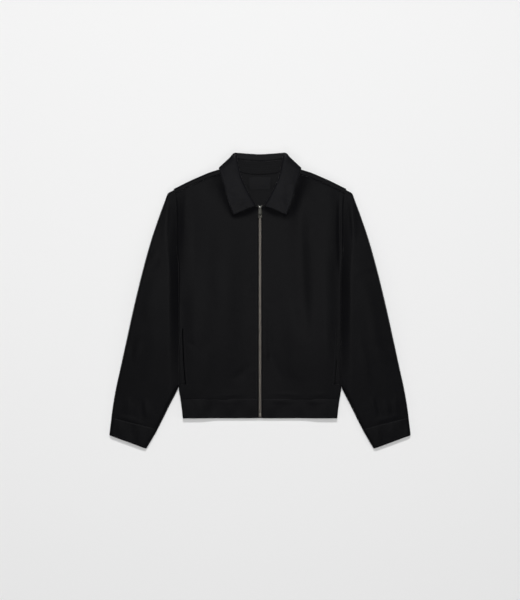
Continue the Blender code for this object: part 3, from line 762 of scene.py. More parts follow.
def ring(row, floor, spacing):
    """One closed ring of a flattened tube, from its upper layer round to its lower one."""
    outer, inner, straight = np.array(row[0:2]), np.array(row[2:4]), row[4]
    plan = []
    for point, share in zip(armhole, armhole_share):
        curved = point + (1 - share) * (outer - armhole[0]) + share * (inner - armhole[-1])
        plan.append(curved + straight * (outer + share * (inner - outer) - curved))
    upper, lower = [], []
    width = np.linalg.norm(outer - inner)
    for end, towards in ((0, 1), (-1, -2)):
        z, gap = floor(*plan[end]), spacing(*plan[end], 0.0, 0.0)
        inwards = (plan[towards] - plan[end]) / np.linalg.norm(plan[towards] - plan[end])
        for angle in (0, 45, 90):
            x, y = plan[end] + inwards * gap / 2 * (1 - math.cos(math.radians(angle)))
            rise = gap / 2 * math.sin(math.radians(angle))
            upper.append((x, y, z + gap / 2 + rise, angle / 180))
            lower.append((x, y, z + gap / 2 - rise, 0.0))
    over, under = [], []
    for point, share in list(zip(plan, armhole_share))[1:-1]:
        z = floor(*point)
        under.append((*point, z, 0.0))
        over.append((*point, z + spacing(*point, share * width, (1 - share) * width), 1.0))
    there = upper[:3] + over + upper[3:][::-1]
    return there + lower[3:][1:] + under[::-1] + lower[:3][:0:-1]


def tube(table, floor, spacing, side, dense):
    grid = refined([ring(row, floor, spacing) for row in table], dense, dense, around=True)
    grid[..., 0] *= side
    return grid


# %% Creases of the sleeves and cuffs
SLEEVE_CREASES = {
    1: (
        (232, 262, 244, 150, 3, 8, 1.0, 0.3), (240, 78, 304, 94, -8, 12, 0.5, 0.3),
        (246, 60, 310, 70, 5, 10, -0.3, -0.3),
        (264, 60, 300, -110, 7, 18, 0.7, 0.1), (290, -40, 330, -190, -6, 15, 0.6, 0.2),
        (256, -90, 280, -230, 5, 13, 0.7, -0.2), (300, -110, 350, -140, 5, 9, -0.5, 0.2),
        (286, -250, 302, -300, 3, 7, 0.9, 0.2), (300, -252, 314, -300, -3, 6, -0.7, -0.1),
        (322, -256, 334, -302, 3, 7, 0.8, 0.1), (350, -246, 358, -298, -2, 8, 0.6, 0.1),
        (290, -318, 372, -298, 2, 5, 0.7, 0),
    ),
    -1: (
        (-234, 258, -248, 148, -4, 8, 0.9, -0.3), (-268, 134, -296, 96, 4, 9, 0.8, 0.2),
        (-262, 112, -290, 78, 3, 8, -0.7, -0.2), (-262, 70, -292, -60, -8, 18, 0.8, 0.1),
        (-306, -106, -326, -158, -5, 8, 0.6, 0.3), (-320, -92, -338, -146, -4, 7, -0.5, 0.2),
        (-272, -60, -300, -210, 6, 15, 0.6, -0.2), (-298, -258, -292, -306, -3, 8, 0.8, 0.2),
        (-312, -256, -310, -306, 3, 8, -0.5, 0.1), (-342, -250, -348, -300, 2, 9, 0.6, -0.1),
        (-300, -322, -376, -300, -2, 5, 0.8, 0),
    ),
}
CUFF_CREASES = {
    1: (
        (300, -318, 312, -372, 2, 8, 0.7, 0), (342, -316, 350, -358, -2, 10, 0.6, 0),
        (372, -312, 376, -350, 2, 7, -0.6, 0),
    ),
    -1: (
        (-304, -322, -316, -376, -2, 8, 0.8, 0), (-332, -314, -338, -362, 2, 9, -0.6, 0),
        (-364, -312, -368, -352, 2, 8, 0.6, 0),
    ),
}
sleeves, cuffs = {}, {}
rings = finer_line(SLEEVE_RINGS, 14.0)
for side, word in ((-1, "left"), (1, "right")):
    grid = creased(tube(rings, sleeve_floor, sleeve_spacing, side, 6.5), SLEEVE_CREASES[side])
    sleeves[side] = sew(f"sleeve_{word}_cloth", grid, CLOTH, body_cloth, around=True)
    grid = creased(tube(CUFF_RINGS, cuff_floor, cuff_spacing, side, 5.0), CUFF_CREASES[side])
    cuffs[side] = sew(f"cuff_{word}_cloth", grid, DOUBLED, body_cloth, around=True)

# %% [markdown]
# ## Waistband
# The waistband is one doubled strip all round the hem, from zip to zip. Seen end on, it makes four
# layers at each side: top, its return inside the tuck, the back's return, and the bottom.

# %% Waistband
BAND_LAYERS = (8.3, 5.85, 3.4, 1.02)
BAND_ROWS = ((-255.15, 206.0), (-280.0, 202.4), (-306.0, 199.8))
BAND_COLUMNS = (ZIP_EDGE, 40.0, 80.0, 108.0, 122.0, 140.0, 158.0, 185.0)
BAND_MIDDLE_Z = 5.0
BAND_RAMP = (108, 158)  # where the band climbs over its tucked layers
BAND_TUCK_OUT = 166.0  # the inner end of those layers


def band_half(y, out):
    """One row of the band's right half, from the zip out, through the tuck and in below."""
    top, upper, lower, bottom = BAND_LAYERS
    points = []
    for low_out in BAND_COLUMNS:
        x = lower_out(low_out, out + 5)
        climb = float(ease(share_of(x, *BAND_RAMP)))
        points.append((x, BAND_MIDDLE_Z + (top - BAND_MIDDLE_Z) * climb, 1.0))
    x = out - (top - upper) / 2
    for above, below, way in ((top, upper, 1), (upper, lower, -1), (lower, bottom, 1)):
        radius = (above - below) / 2
        if way < 0:
            x = BAND_TUCK_OUT + radius
        elif above == lower:
            x = out - BACK_INSET - radius
        share = 1.0 if above == top else 0.0
        points.append((x, above, share))
        heading = 0.0 if way > 0 else math.pi
        fold, _ = bend((x, above), heading, -way * math.pi, math.pi * radius)
        points += [(*p, 0.0) for p in fold]
    points += [(x, bottom, 0.0) for x in (150.0, 100.0, 50.0)]
    return [(x, y, z, share) for x, z, share in points]


BAND_CREASES = (
    (-160, -258, -156, -304, 1, 10, 0.7, 0), (-122, -260, -128, -302, 2, 12, -0.6, 0),
    (-84, -258, -80, -300, 2, 9, 0.8, 0),
    (-52, -262, -60, -304, -2, 10, -0.5, 0), (-26, -258, -22, -300, 1, 8, 0.7, 0),
    (24, -258, 30, -304, 1, 9, 0.7, 0),
    (62, -260, 58, -302, -2, 11, -0.6, 0), (96, -258, 104, -304, 2, 10, 0.8, 0),
    (134, -260, 130, -300, 1, 9, -0.5, 0),
    (168, -258, 174, -302, -1, 10, 0.7, 0), (-186, -260, -184, -300, 1, 7, 0.5, 0),
    (-110, -264, -60, -266, 1, 4, 0.5, 0),
    (20, -262, 88, -265, 1, 4, 0.5, 0), (120, -264, 176, -262, -1, 4, 0.5, 0),
)
rows = []
for y, out in BAND_ROWS:
    half = band_half(y, out)
    rows.append(mirrored(half, -1) + [(0.0, y, BAND_LAYERS[-1], 0.0)] + half[::-1])
grid = creased(refined(rows, 4.5, 6.0), BAND_CREASES)
waistband = sew("waistband_cloth", grid, DOUBLED, body_cloth)

# %% [markdown]
# ## Collar
# The collar has a stand, which rises from the neck seam, and a leaf that rolls over it. At the
# side of the neck both fold: behind it they lie flat below, and in front of it they come round on
# top. Thirteen stations go from the centre back to the front end, and each one gives four points
# of the cut: neck seam, roll, start of the fall, and edge.

# %% Collar stations
COLLAR_STATIONS = np.array([
    # neck, roll, fall, edge
    ((0.0, 327.1, 3.1), (0.0, 379.4, 4.6), (0.0, 379.4, 1.4), (0.0, 318.5, 1.05)),
    ((30.0, 329.2, 3.1), (31.0, 381.0, 4.6), (31.0, 381.0, 1.4), (38.0, 317.5, 1.05)),
    ((53.5, 335.6, 3.2), (50.5, 382.2, 4.8), (54.5, 383.2, 1.4), (84.0, 321.5, 1.05)),
    ((68.3, 345.8, 3.5), (58.8, 382.0, 5.2), (62.5, 384.6, 1.6), (101.5, 341.5, 1.15)),
    ((72.2, 348.9, 4.0), (60.4, 381.8, 5.7), (65.0, 384.9, 2.7), (105.8, 344.9, 2.2)),
    ((74.2, 350.0, 5.1), (61.4, 380.2, 6.7), (66.6, 383.4, 5.2), (107.4, 345.7, 5.0)),
    ((75.6, 348.0, 6.2), (61.2, 376.6, 7.7), (66.6, 379.4, 7.9), (107.6, 344.0, 8.4)),
    ((76.2, 344.0, 6.7), (60.2, 371.0, 8.2), (64.4, 373.2, 10.4), (106.6, 340.6, 11.0)),
    ((76.7, 336.2, 6.9), (58.4, 362.0, 8.4), (59.8, 362.8, 12.0), (103.4, 331.5, 12.0)),
    ((76.7, 319.0, 6.7), (52.0, 327.0, 8.1), (52.0, 327.0, 12.4), (97.0, 312.3, 12.6)),
    ((67.8, 293.5, 5.0), (41.0, 299.0, 7.2), (41.0, 299.0, 12.0), (89.7, 285.0, 12.4)),
    ((49.8, 269.2, 4.6), (27.6, 272.5, 6.6), (27.6, 272.5, 11.4), (81.0, 254.0, 12.2)),
    ((11.0, 246.2, 4.6), (13.0, 250.5, 5.9), (12.6, 247.6, 10.0), (68.9, 222.8, 12.0)),
])


STAND_SHARES = (0.0, 0.31, 0.665)  # the stand ends two thirds of the way up to the roll
LEAF_START = 0.68
LEAF_WALL = 1.7
ROLL_OUT = 1.4  # how far the roll stands out past its two points
LEAF_AIR = 0.9  # under the part that lies on the front


def stand_section(neck, roll, _fall, _edge):
    return [neck + share * (roll - neck) for share in STAND_SHARES]


def leaf_section(neck, roll, fall, edge):
    start = neck + (LEAF_START + GAP / np.linalg.norm(roll - neck)) * (roll - neck)
    outwards = (roll - neck) * (1, 1, 0)
    outwards /= np.linalg.norm(outwards)
    tip = (roll + fall) / 2 + ROLL_OUT * outwards
    lift = (0, 0, LEAF_AIR if fall[2] > roll[2] else 0.0)
    return [start, roll, tip, fall, *(fall + s * (edge - fall) + lift for s in (0.3, 0.65)), edge]


def collar_grid(section, along, across):
    whole = np.concatenate([COLLAR_STATIONS[:0:-1] * (-1, 1, 1), COLLAR_STATIONS])
    stations = finer_line(whole.reshape(len(whole), -1), along)
    sections = [section(*row.reshape(4, 3)) for row in stations]
    dense = finer(np.array(sections).swapaxes(0, 1), across).swapaxes(0, 1)
    return np.concatenate([dense, np.ones((*dense.shape[:2], 1))], axis=2)


# %% Collar cloth
COLLAR_CREASES = (
    (62, 350, 84, 262, 4, 10, 0.9, 0.2), (80, 330, 72, 246, -3, 8, -0.5, 0),
    (40, 274, 66, 246, 2, 7, 0.6, 0),
    (-64, 352, -82, 268, -4, 10, 0.9, -0.2), (-82, 322, -74, 240, 3, 8, -0.5, 0),
    (-34, 264, -62, 240, -2, 7, 0.6, 0),
    (-94, 318, -56, 294, 3, 9, -0.9, 0), (-90, 284, -54, 260, -2, 8, -0.8, 0.2),
    (-78, 252, -40, 258, 2, 7, 0.6, 0),
    (96, 310, 60, 294, 2, 8, -0.8, 0), (86, 272, 52, 264, 2, 7, -0.8, -0.2),
    (78, 240, 50, 254, 2, 7, 0.5, 0),
    (-40, 372, 36, 371, 1, 4, 0.4, 0),
)
# The stand's ridges lie between its rows of stitches.
STAND_CREASES = tuple(
    (-70, y + 5, 70, y + 5, -5, 2.6, 0.4, 0) for y in (335, 341.5, 347, 353)
)
LEAF_CREASED_Z = (6.0, 7.5)  # only the part of the leaf above this is creased
grid = creased(collar_grid(stand_section, 5.0, 2.2), STAND_CREASES)
stand = sew("collar_stand_cloth", grid, DOUBLED, body_cloth)
grid = collar_grid(leaf_section, 4.5, 4.0)
grid[..., 3] = ease(share_of(grid[..., 2], *LEAF_CREASED_Z))
leaf = sew("collar_leaf_cloth", creased(grid, COLLAR_CREASES), LEAF_WALL, collar_cloth)

# %% [markdown]
# ## Pocket welts and label
# Each side pocket opens in an upright slit near the side fold, and a narrow welt lies along its
# outer side. The slit's dark opening is a near-black strip of painted shade. The label inside the
# neck is plain. They all follow the cloth that they lie on, so their points come from rays sent
# down onto it.


# %% Points laid on a piece
def tree_of(obj):
    graph = bpy.context.evaluated_depsgraph_get()
    return BVHTree.FromObject(obj, graph)


ABOVE_ALL = 100


def laid_on(tree, points, up):
    """Plan points in millimetres dropped onto a piece, and raised from it by up."""
    placed = []
    for x, y in points:
        hit = tree.ray_cast(Vector((x, y, ABOVE_ALL)) * MM, Vector((0, 0, -1)))[0]
        if hit is not None:
            placed.append((x, y, hit.z / MM + up))
    return placed


def strip_on(tree, spots, up):
    """Rows of plan points laid on a piece, as a grid for sew."""
    return np.array([[(*p, 1.0) for p in laid_on(tree, row, up)] for row in spots])


# %% Welts and the slits' painted shade
WELT_ROWS = ((202.5, -72.0), (201.6, -110.0), (200.2, -145.0), (198.0, -180.0), (194.9, -218.0))
WELT_OUTER = 208.0
# How wide each slit's strip of painted shade is, and from where down. The right one is pressed
# shut further up.
SLITS = {-1: (2.6, -72.0), 1: (1.5, -150.0)}
front_trees = {side: tree_of(fronts[side]) for side in fronts}
line = finer_line(WELT_ROWS, 5.0)
welts, slit_shades = {}, {}
for side, word in ((-1, "left"), (1, "right")):
    spots = [[(side * x, y) for x in np.linspace(out, WELT_OUTER, 5)] for out, y in line]
    grid = strip_on(front_trees[side], spots, 0.6)
    welts[side] = sew(f"pocket_welt_{word}_cloth", grid, 1.1, body_cloth)
    wide, from_y = SLITS[side]
    spots = [
        [(side * (out - wide + s * wide), y) for s in (0.0, 0.5, 1.0)]
        for out, y in line[line[:, 1] <= from_y]
    ]
    # This strip is painted shade laid along the slit, not a piece of cloth.
    grid = strip_on(front_trees[side], spots, 0.25)
    slit_shades[side] = sew(f"pocket_slit_painted_shade_{word}", grid, 0.4, slit_painted_shade)

# %% Neck label
spots = [[(x, y) for x in np.linspace(-29, 29, 14)] for y in np.linspace(288, 322, 9)]
back_tree = tree_of(back)
label = sew("neck_label_cloth", strip_on(back_tree, spots, 0.5), 0.5, label_cloth)

# %% [markdown]
# ## Stitches
# Topstitching holds the seams down: a line of thread that dips in and out every 3 mm. Each stitch
# is a small capsule, and Geometry Nodes put one at every pitch along a line of points that was
# laid on the cloth. That keeps the stitches even, as a machine's are.

# %% Stitch tree
def input_socket(tree, name, kind, value=None):
    socket = tree.interface.new_socket(name, in_out="INPUT", socket_type=kind)
    if value is not None:
        socket.default_value = value
    return socket.identifier


def new_tree(name):
    tree = bpy.data.node_groups.new(name, "GeometryNodeTree")
    tree.interface.new_socket("Geometry", in_out="INPUT", socket_type="NodeSocketGeometry")
    tree.interface.new_socket("Geometry", in_out="OUTPUT", socket_type="NodeSocketGeometry")
    return tree, add(tree, "NodeGroupInput"), add(tree, "NodeGroupOutput")


def end_tree(tree, entry, leave, instances):
    """Makes the instances real and gives them the material."""
    real = add(tree, "GeometryNodeRealizeInstances", {"Geometry": instances})
    painted = add(
        tree, "GeometryNodeSetMaterial",
        {"Geometry": real.outputs[0], "Material": entry.outputs["Material"]},
    )
    tree.links.new(painted.outputs[0], leave.inputs[0])


def grow(obj, tree, sockets, material):
    """Runs a tree on an object and keeps what it makes as the object's own mesh."""
    modifier = obj.modifiers.new(tree.name, "NODES")
    modifier.node_group = tree
    modifier[sockets["Material"]] = material
    return apply_modifiers(obj)


stitch_tree, entry, leave = new_tree("stitches along a line")
stitch_inputs = {
    "Pitch": input_socket(stitch_tree, "Pitch", "NodeSocketFloat", 0.0032),
    "Length": input_socket(stitch_tree, "Length", "NodeSocketFloat", 0.0024),
    "Thread": input_socket(stitch_tree, "Thread", "NodeSocketFloat", 0.0007),
    "Material": input_socket(stitch_tree, "Material", "NodeSocketMaterial"),
}
curve = add(stitch_tree, "GeometryNodeMeshToCurve", {"Mesh": entry.outputs["Geometry"]})
even = add(
    stitch_tree, "GeometryNodeResampleCurve",
    {"Curve": curve.outputs[0], "Length": entry.outputs["Pitch"]}, mode="LENGTH",
)
tangent = add(stitch_tree, "GeometryNodeInputTangent")
turn = add(
    stitch_tree, "FunctionNodeAlignRotationToVector", {"Vector": tangent.outputs[0]}, axis="X"
)
bead = add(stitch_tree, "GeometryNodeMeshUVSphere", {"Segments": 6, "Rings": 4, "Radius": 0.5})
thick = entry.outputs["Thread"]
size = add(
    stitch_tree, "ShaderNodeCombineXYZ", {"X": entry.outputs["Length"], "Y": thick, "Z": thick}
)
placed = add(stitch_tree, "GeometryNodeInstanceOnPoints", {
    "Points": even.outputs[0], "Instance": bead.outputs[0],
    "Rotation": turn.outputs[0], "Scale": size.outputs[0],
})
end_tree(stitch_tree, entry, leave, placed.outputs[0])


# %% Lines of stitches
def stitch_lines(name, lines):
    """One mesh of stitches along lines of points, in millimetres."""
    points, edges = [], []
    for line in lines:
        first = len(points)
        points += [[c * MM for c in p] for p in line]
        edges += [(first + i, first + i + 1) for i in range(len(line) - 1)]
    mesh = bpy.data.meshes.new(name)
    mesh.from_pydata(points, edges, [])
    obj = grow(new_object(name, mesh, thread), stitch_tree, stitch_inputs, thread)
    obj.data.shade_smooth()
    print(name, "triangles:", triangles(obj))
    return obj


# %% Where the stitches run
THREAD_UP = 0.12  # how far the thread's middle lies above the cloth
LABEL_THREAD_UP = 0.05
LEAF_EDGE = (
    (103.0, 343.0), (98.2, 331.5), (91.8, 312.8), (84.6, 286.0), (76.2, 255.6), (66.2, 229.6),
)
LEAF_FRONT = ((66.2, 229.6), (22.0, 251.0))
# piece, start, end and number of points of each straight line, for the right half
STRAIGHT_LINES = (
    ("front", (9.5, -252.0), (9.5, 238.0), 200),
    ("band", (5.0, -257.6), (203.0, -257.6), 80),
    ("band", (5.0, -302.5), (200.0, -302.5), 80),
    ("cuff", (384.5, -306.9), (268.5, -335.8), 60),
    ("cuff", (388.8, -346.2), (297.6, -379.8), 60),
    ("label", (27.0, 289.5), (27.0, 320.5), 12),
)
STAND_LINES_Y = (332.5, 338.5, 344.5, 350.0, 356.0)
STAND_CURVE = 900  # a stand line rises by x squared over this

leaf_tree, stand_tree = tree_of(leaf), tree_of(stand)
stitching = {"front": [], "collar": [], "band": [], "cuff": [], "label": []}
for side in (-1, 1):
    trees = {
        "front": front_trees[side], "band": tree_of(waistband), "cuff": tree_of(cuffs[side]),
        "label": tree_of(label),
    }
    runs = [(key, trees[key], np.linspace(a, b, count)) for key, a, b, count in STRAIGHT_LINES]
    outs = np.linspace(112, 218, 40)
    shoulder = [(out, shoulder_line(out) - SHOULDER_WRAP + 1.8) for out in outs]
    runs.append(("front", back_tree, shoulder))
    runs.append(("front", trees["front"], finer_line(WELT_ROWS, 3.0) - (6.0, 0.0)))
    runs.append(("collar", leaf_tree, finer_line(LEAF_EDGE, 3.0)))
    runs.append(("collar", leaf_tree, finer_line(LEAF_FRONT, 3.0)))
    for key, tree, run in runs:
        up = LABEL_THREAD_UP if key == "label" else THREAD_UP
        stitching[key].append(laid_on(tree, [(side * x, y) for x, y in run], up))
for y in STAND_LINES_Y:
    run = [(x, y + x * x / STAND_CURVE) for x in np.linspace(-46, 46, 40)]
    stitching["collar"].append(laid_on(stand_tree, run, THREAD_UP))
stitches = {
    key: stitch_lines(f"{key}_stitches", [line for line in lines if len(line) > 2])
    for key, lines in stitching.items()
}

# %% [markdown]
# ## Zip
# A metal zip has two rows of teeth, each tooth clamped on its tape's edge, hooked between the two
# teeth opposite. They are 2.8 mm apart on each side, and Geometry Nodes set them out in two lines
# half a pitch apart.

# %% Teeth
CHAIN_Y = (-291.5, 240.0)
TOOTH_PITCH = 2.8
TOOTH_COUNT = int((CHAIN_Y[1] - CHAIN_Y[0]) / TOOTH_PITCH)
FIRST_TOOTH = CHAIN_Y[0] * MM + 0.001
CHAIN_Z = 0.0049
teeth_tree, entry, leave = new_tree("two rows of teeth")
teeth_inputs = {
    "Pitch": input_socket(teeth_tree, "Pitch", "NodeSocketFloat", TOOTH_PITCH * MM),
    "Count": input_socket(teeth_tree, "Count", "NodeSocketInt", TOOTH_COUNT),
    "Material": input_socket(teeth_tree, "Material", "NodeSocketMaterial"),
}
# A tooth is a flat jaw on the tape with a smaller hooked head that reaches past the middle.
jaw = add(teeth_tree, "GeometryNodeMeshCube", {
    "Size": (0.0023, 0.0016, 0.0021), "Vertices X": 3, "Vertices Y": 3, "Vertices Z": 3,
})
jaw_place = add(
    teeth_tree, "GeometryNodeTransform",
    {"Geometry": jaw.outputs[0], "Translation": (0.0014, 0, 0)},
)
head = add(teeth_tree, "GeometryNodeMeshUVSphere", {"Segments": 8, "Rings": 5, "Radius": 0.0008})
head_place = add(teeth_tree, "GeometryNodeTransform", {
    "Geometry": head.outputs[0], "Translation": (0.0001, 0, 0.0001), "Scale": (1.1, 0.85, 1.15),
})
tooth = add(teeth_tree, "GeometryNodeJoinGeometry")
teeth_tree.links.new(jaw_place.outputs[0], tooth.inputs[0])
teeth_tree.links.new(head_place.outputs[0], tooth.inputs[0])
step = add(teeth_tree, "ShaderNodeCombineXYZ", {"Y": entry.outputs["Pitch"]})
both = add(teeth_tree, "GeometryNodeJoinGeometry")
for angle, shift in ((0.0, 0.0), (math.pi, TOOTH_PITCH / 2 * MM)):
    line = add(teeth_tree, "GeometryNodeMeshLine", {
        "Count": entry.outputs["Count"], "Offset": step.outputs[0],
        "Start Location": (0, FIRST_TOOTH + shift, CHAIN_Z),
    })
    row = add(
        teeth_tree, "GeometryNodeInstanceOnPoints",
        {"Points": line.outputs[0], "Instance": tooth.outputs[0], "Rotation": (0, 0, angle)},
    )
    teeth_tree.links.new(row.outputs[0], both.inputs[0])
end_tree(teeth_tree, entry, leave, both.outputs[0])
chain = new_object("zip_teeth", bpy.data.meshes.new("zip_teeth"), teeth_metal)
grow(chain, teeth_tree, teeth_inputs, teeth_metal)
print("teeth triangles:", triangles(chain))

# %% [markdown]
# The tapes are thin woven strips under the front edges. Each has a thicker cord along its inner
# edge, which the teeth grip.

# %% Tapes
TAPE_PROFILE = ((0.6, 3.25), (1.2, 3.5), (2.0, 3.15), (5.0, 3.05), (10.0, 3.05), (15.0, 3.05))
TAPE_WALL = 0.6
tapes = {}
for side, word in ((-1, "left"), (1, "right")):
    rows = [
        [(side * x, y, z, 1.0) for x, z in TAPE_PROFILE] for y in np.linspace(-304, 240.5, 110)
    ]
    tapes[side] = sew(f"zip_tape_{word}_cloth", np.array(rows), TAPE_WALL, tape_cloth)


# %% [markdown]
# The slider, its bridge, the pull and the bottom box are castings with rounded edges. Each is cut
# from an outline, given its thickness, and bevelled. The pull swings on a pin in the bridge.


# %% Castings
def lying(x, y, z):
    return (x, y, z)


def upright(y, z, x):
    return (x, y, z)


def casting(name, outline, low, high, round_by, place=lying, cut=None, metal=pull_metal):
    """A prism from an outline, cut and then bevelled, in millimetres."""
    mesh = bpy.data.meshes.new(name)
    n = len(outline)
    points = [[c * MM for c in place(a, b, level)] for level in (low, high) for a, b in outline]
    faces = [tuple(range(n))[::-1], tuple(range(n, 2 * n))]
    faces += [(i, (i + 1) % n, n + (i + 1) % n, n + i) for i in range(n)]
    mesh.from_pydata(points, [], faces)
    edit = bmesh.new()
    edit.from_mesh(mesh)
    bmesh.ops.recalc_face_normals(edit, faces=edit.faces)
    edit.to_mesh(mesh)
    edit.free()
    obj = new_object(name, mesh, metal)
    if cut:
        modifier = obj.modifiers.new("cut", "BOOLEAN")
        modifier.operation, modifier.object = "DIFFERENCE", cut
    bevel = obj.modifiers.new("edges", "BEVEL")
    bevel.width, bevel.segments, bevel.limit_method = round_by * MM, 2, "ANGLE"
    apply_modifiers(obj)
    obj.data.shade_smooth()
    if cut:
        bpy.data.objects.remove(cut)
    return obj


def joined(name, parts):
    """Several meshes as one object, each with its own metal."""
    edit = bmesh.new()
    metals = list(dict.fromkeys(part.data.materials[0] for part in parts))
    metal_of_face = []
    for part in parts:
        edit.from_mesh(part.data)
        metal_of_face += [metals.index(part.data.materials[0])] * len(part.data.polygons)
    mesh = bpy.data.meshes.new(name)
    edit.to_mesh(mesh)
    edit.free()
    for part in parts:
        bpy.data.objects.remove(part)
    obj = new_object(name, mesh, metals[0])
    for metal in metals[1:]:
        mesh.materials.append(metal)
    mesh.polygons.foreach_set("material_index", metal_of_face)
    obj.data.shade_smooth()
    return obj


def symmetric(half):
    return list(half) + [(-x, y) for x, y in half[::-1]]


# %% Slider
plate = [
    (3.2, 236.6), (3.4, 238.6), (3.7, 240.6), (4.3, 243.2), (5.8, 247.2), (6.2, 248.7),
    (5.4, 249.3), (3.9, 248.5), (2.3, 246.6), (1.0, 245.2),
]
bridge = [
    (239.2, 7.3), (239.5, 9.5), (240.1, 10.6), (241.2, 11.2), (245.2, 11.2), (246.2, 10.6),
    (246.7, 9.5), (247.0, 7.3),
    (245.8, 7.3), (245.5, 9.2), (244.9, 9.9), (241.3, 9.9), (240.7, 9.2), (240.4, 7.3),
]
flange = [(3.1, 237.0), (2.6, 237.0), (3.4, 243.0), (4.9, 247.0), (5.1, 246.0), (3.9, 241.0)]
slider_parts = [casting("slider_top", symmetric(plate), 6.3, 7.5, 0.3, metal=slider_metal)]
for sign in (-1, 1):
    outline = [(sign * x, y) for x, y in flange]
    slider_parts.append(
        casting(f"slider_flange_{sign}", outline, 4.3, 6.4, 0.1, metal=slider_metal)
    )
# The bridge takes the lighter nickel, which paints its highlight.
slider_parts.append(
    casting("slider_bridge", bridge, -1.2, 1.2, 0.25, place=upright, metal=bridge_painted_highlight)
)
slider = joined("zip_slider_casting", slider_parts)

# %% Pull tab
HINGE_Y, HINGE_Z = 243.5, 8.9
SLOPE = math.radians(3.6)  # the tab rests on the chain with its free end down
PIN_RADIUS = 0.62
pull_half = [
    (1.4, -4.9), (1.4, 0.3), (1.8, 0.7), (2.4, 0.7), (2.7, 0.3), (2.7, -5.3), (3.6, -6.1),
    (4.5, -6.5), (4.9, -7.4), (5.2, -15.5), (5.7, -25.8), (5.4, -27.4), (4.6, -28.2),
]
slot_outline = [(-2.2, -24.9), (2.2, -24.9), (2.2, -22.3), (-2.2, -22.3)]
panel_outline = [(-3.6, -9.2), (3.6, -9.2), (4.1, -20.2), (-4.1, -20.2)]
turns = np.linspace(0, 2 * math.pi, 12, endpoint=False)
pin_outline = [(PIN_RADIUS * math.cos(a), PIN_RADIUS * math.sin(a)) for a in turns]


def swung(x, y, z):
    """A point of the tab, given from its hinge, where the tab lies at rest."""
    across, up = math.cos(SLOPE), math.sin(SLOPE)
    return (x, HINGE_Y + y * across - z * up, HINGE_Z + y * up + z * across)


def swung_across(y, z, x):
    return swung(x, y, z)


slot = casting("slot", slot_outline, -3, 3, 0.05, place=swung)
tab = casting("tab", symmetric(pull_half), -0.8, 0.8, 0.3, place=swung, cut=slot)
panel = casting("tab_panel", panel_outline, 0.7, 1.0, 0.12, place=swung)
pin = casting("tab_pin", pin_outline, -1.9, 1.9, 0.05, place=swung_across)
pull = joined("zip_pull_casting", [tab, panel, pin])
print("pull triangles:", triangles(pull))

# %% Bottom box
box_half = [(3.0, -304.0), (3.3, -303.4), (3.3, -293.0), (3.0, -292.4)]
box = casting("zip_box_casting", symmetric(box_half), 3.8, 6.5, 0.35, metal=teeth_metal)
print("box triangles:", triangles(box))

# %% [markdown]
# ## Which piece is which
# Every cloth piece is listed with the flat size of what shows, and stands for its solid, which is
# hidden. All cloth rides on one body, because cloth has no joints. Only the pull tab moves.

# %% Sheets and bodies
SHEETS = (
    # piece, node, flat width and length, flat area, what it rests on
    (fronts[-1], "front_left", (0.25, 0.60), 0.131, "back_panel"),
    (fronts[1], "front_right", (0.25, 0.60), 0.131, "back_panel"),
    (back, "back", (0.52, 0.64), 0.29, "floor"),
    (sleeves[-1], "sleeve_left", (0.50, 0.63), 0.158, "floor"),
    (sleeves[1], "sleeve_right", (0.50, 0.63), 0.158, "floor"),
    (cuffs[-1], "cuff_left", (0.252, 0.052), 0.0118, "floor"),
    (cuffs[1], "cuff_right", (0.252, 0.052), 0.0118, "floor"),
    (waistband, "waistband", (0.95, 0.051), 0.0484, "floor"),
    (stand, "collar_stand", (0.40, 0.036), 0.0078, "back_panel"),
    (leaf, "collar_leaf", (0.47, 0.10), 0.0315, "front_panel_left"),
    (welts[-1], "pocket_welt_left", (0.0131, 0.147), 0.00125, "front_panel_left"),
    (welts[1], "pocket_welt_right", (0.0131, 0.147), 0.00125, "front_panel_right"),
    (label, "neck_label", (0.058, 0.034), 0.00197, "back_panel"),
    (tapes[-1], "zip_tape_left", (0.0146, 0.5445), 0.0079, "back_panel"),
    (tapes[1], "zip_tape_right", (0.0146, 0.5445), 0.0079, "back_panel"),
)

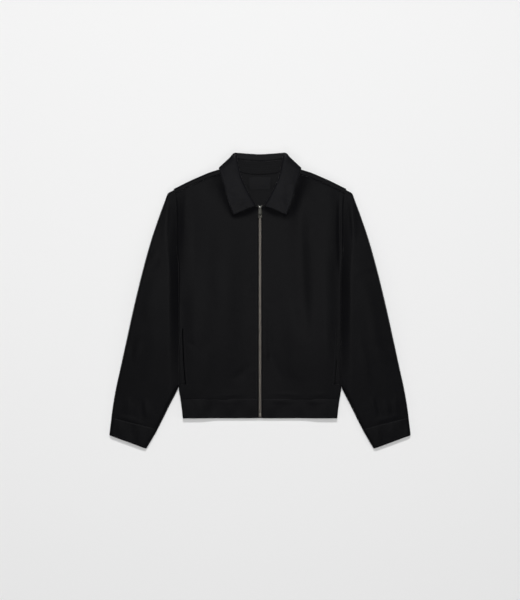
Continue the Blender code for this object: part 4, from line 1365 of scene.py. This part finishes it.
FLOOR_OUT = 6
FLOOR_Z = -0.0002  # a hair below the jacket, so the two never share a surface
corners = ((-1, -1), (1, -1), (1, 1), (-1, 1))
floor_mesh = bpy.data.meshes.new("floor")
floor_mesh.from_pydata(
    [(x * FLOOR_OUT, y * FLOOR_OUT, FLOOR_Z) for x, y in corners], [], [(0, 1, 2, 3)]
)
paper, tree, shader = finish("white seamless paper", 0.9, Specular_IOR_Level=0.1)
shader.inputs["Base Color"].default_value = linear("#f1f1f1")
floor = new_object("floor", floor_mesh, paper)

for piece, node, flat, area, below in SHEETS:
    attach(piece, "jacket")
    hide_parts(node)
for piece in (*stitches.values(), *slit_shades.values()):
    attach(piece, "jacket")
HARDWARE = (
    # piece, node, body
    (chain, "zip_chain", "jacket"),
    (slider, "zip_slider", "jacket"),
    (box, "zip_box", "jacket"),
    (pull, "zip_pull", "pull_tab"),
)
for piece, node, body in HARDWARE:
    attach(piece, body)
    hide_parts(node)

# %% [markdown]
# ## Light
# Five round lights stand about the jacket. The strongest is 1.1 m wide and 9 m away, beyond the
# top of the picture. It shows the folds and throws the thin shadow below the hem and cuffs. One
# hangs overhead, a little to the left and towards the collar. One beyond the bottom of the picture
# evens the floor, and there is a weak one at each side. A little white comes from all round.


# %% Lights
def area_light(name, place, size, power, aim=(0.0, 0.0, 0.0)):
    data = bpy.data.lights.new(name, "AREA")
    data.shape, data.size, data.energy = "DISK", size, power
    obj = bpy.data.objects.new(name, data)
    obj.location = place
    obj.rotation_euler = (Vector(aim) - Vector(place)).to_track_quat("-Z", "Y").to_euler()
    bpy.context.scene.collection.objects.link(obj)
    return obj


area_light("top softbox", (0.0, 7.0, 5.6), 1.1, 490.0)
area_light("left softbox", (-3.4, -0.3, 1.4), 1.2, 9.0)
area_light("right softbox", (3.4, -0.3, 1.4), 1.2, 9.0)
area_light("bottom softbox", (0.0, -5.0, 2.2), 1.6, 40.0)
area_light("overhead", (-0.12, 0.36, 4.2), 2.0, 74.0)
world = bpy.data.worlds.new("studio")
world.use_nodes = True
world.node_tree.nodes["Background"].inputs["Color"].default_value = (1, 1, 1, 1)
world.node_tree.nodes["Background"].inputs["Strength"].default_value = 0.1
bpy.context.scene.world = world
bpy.context.scene.view_settings.view_transform = "Standard"
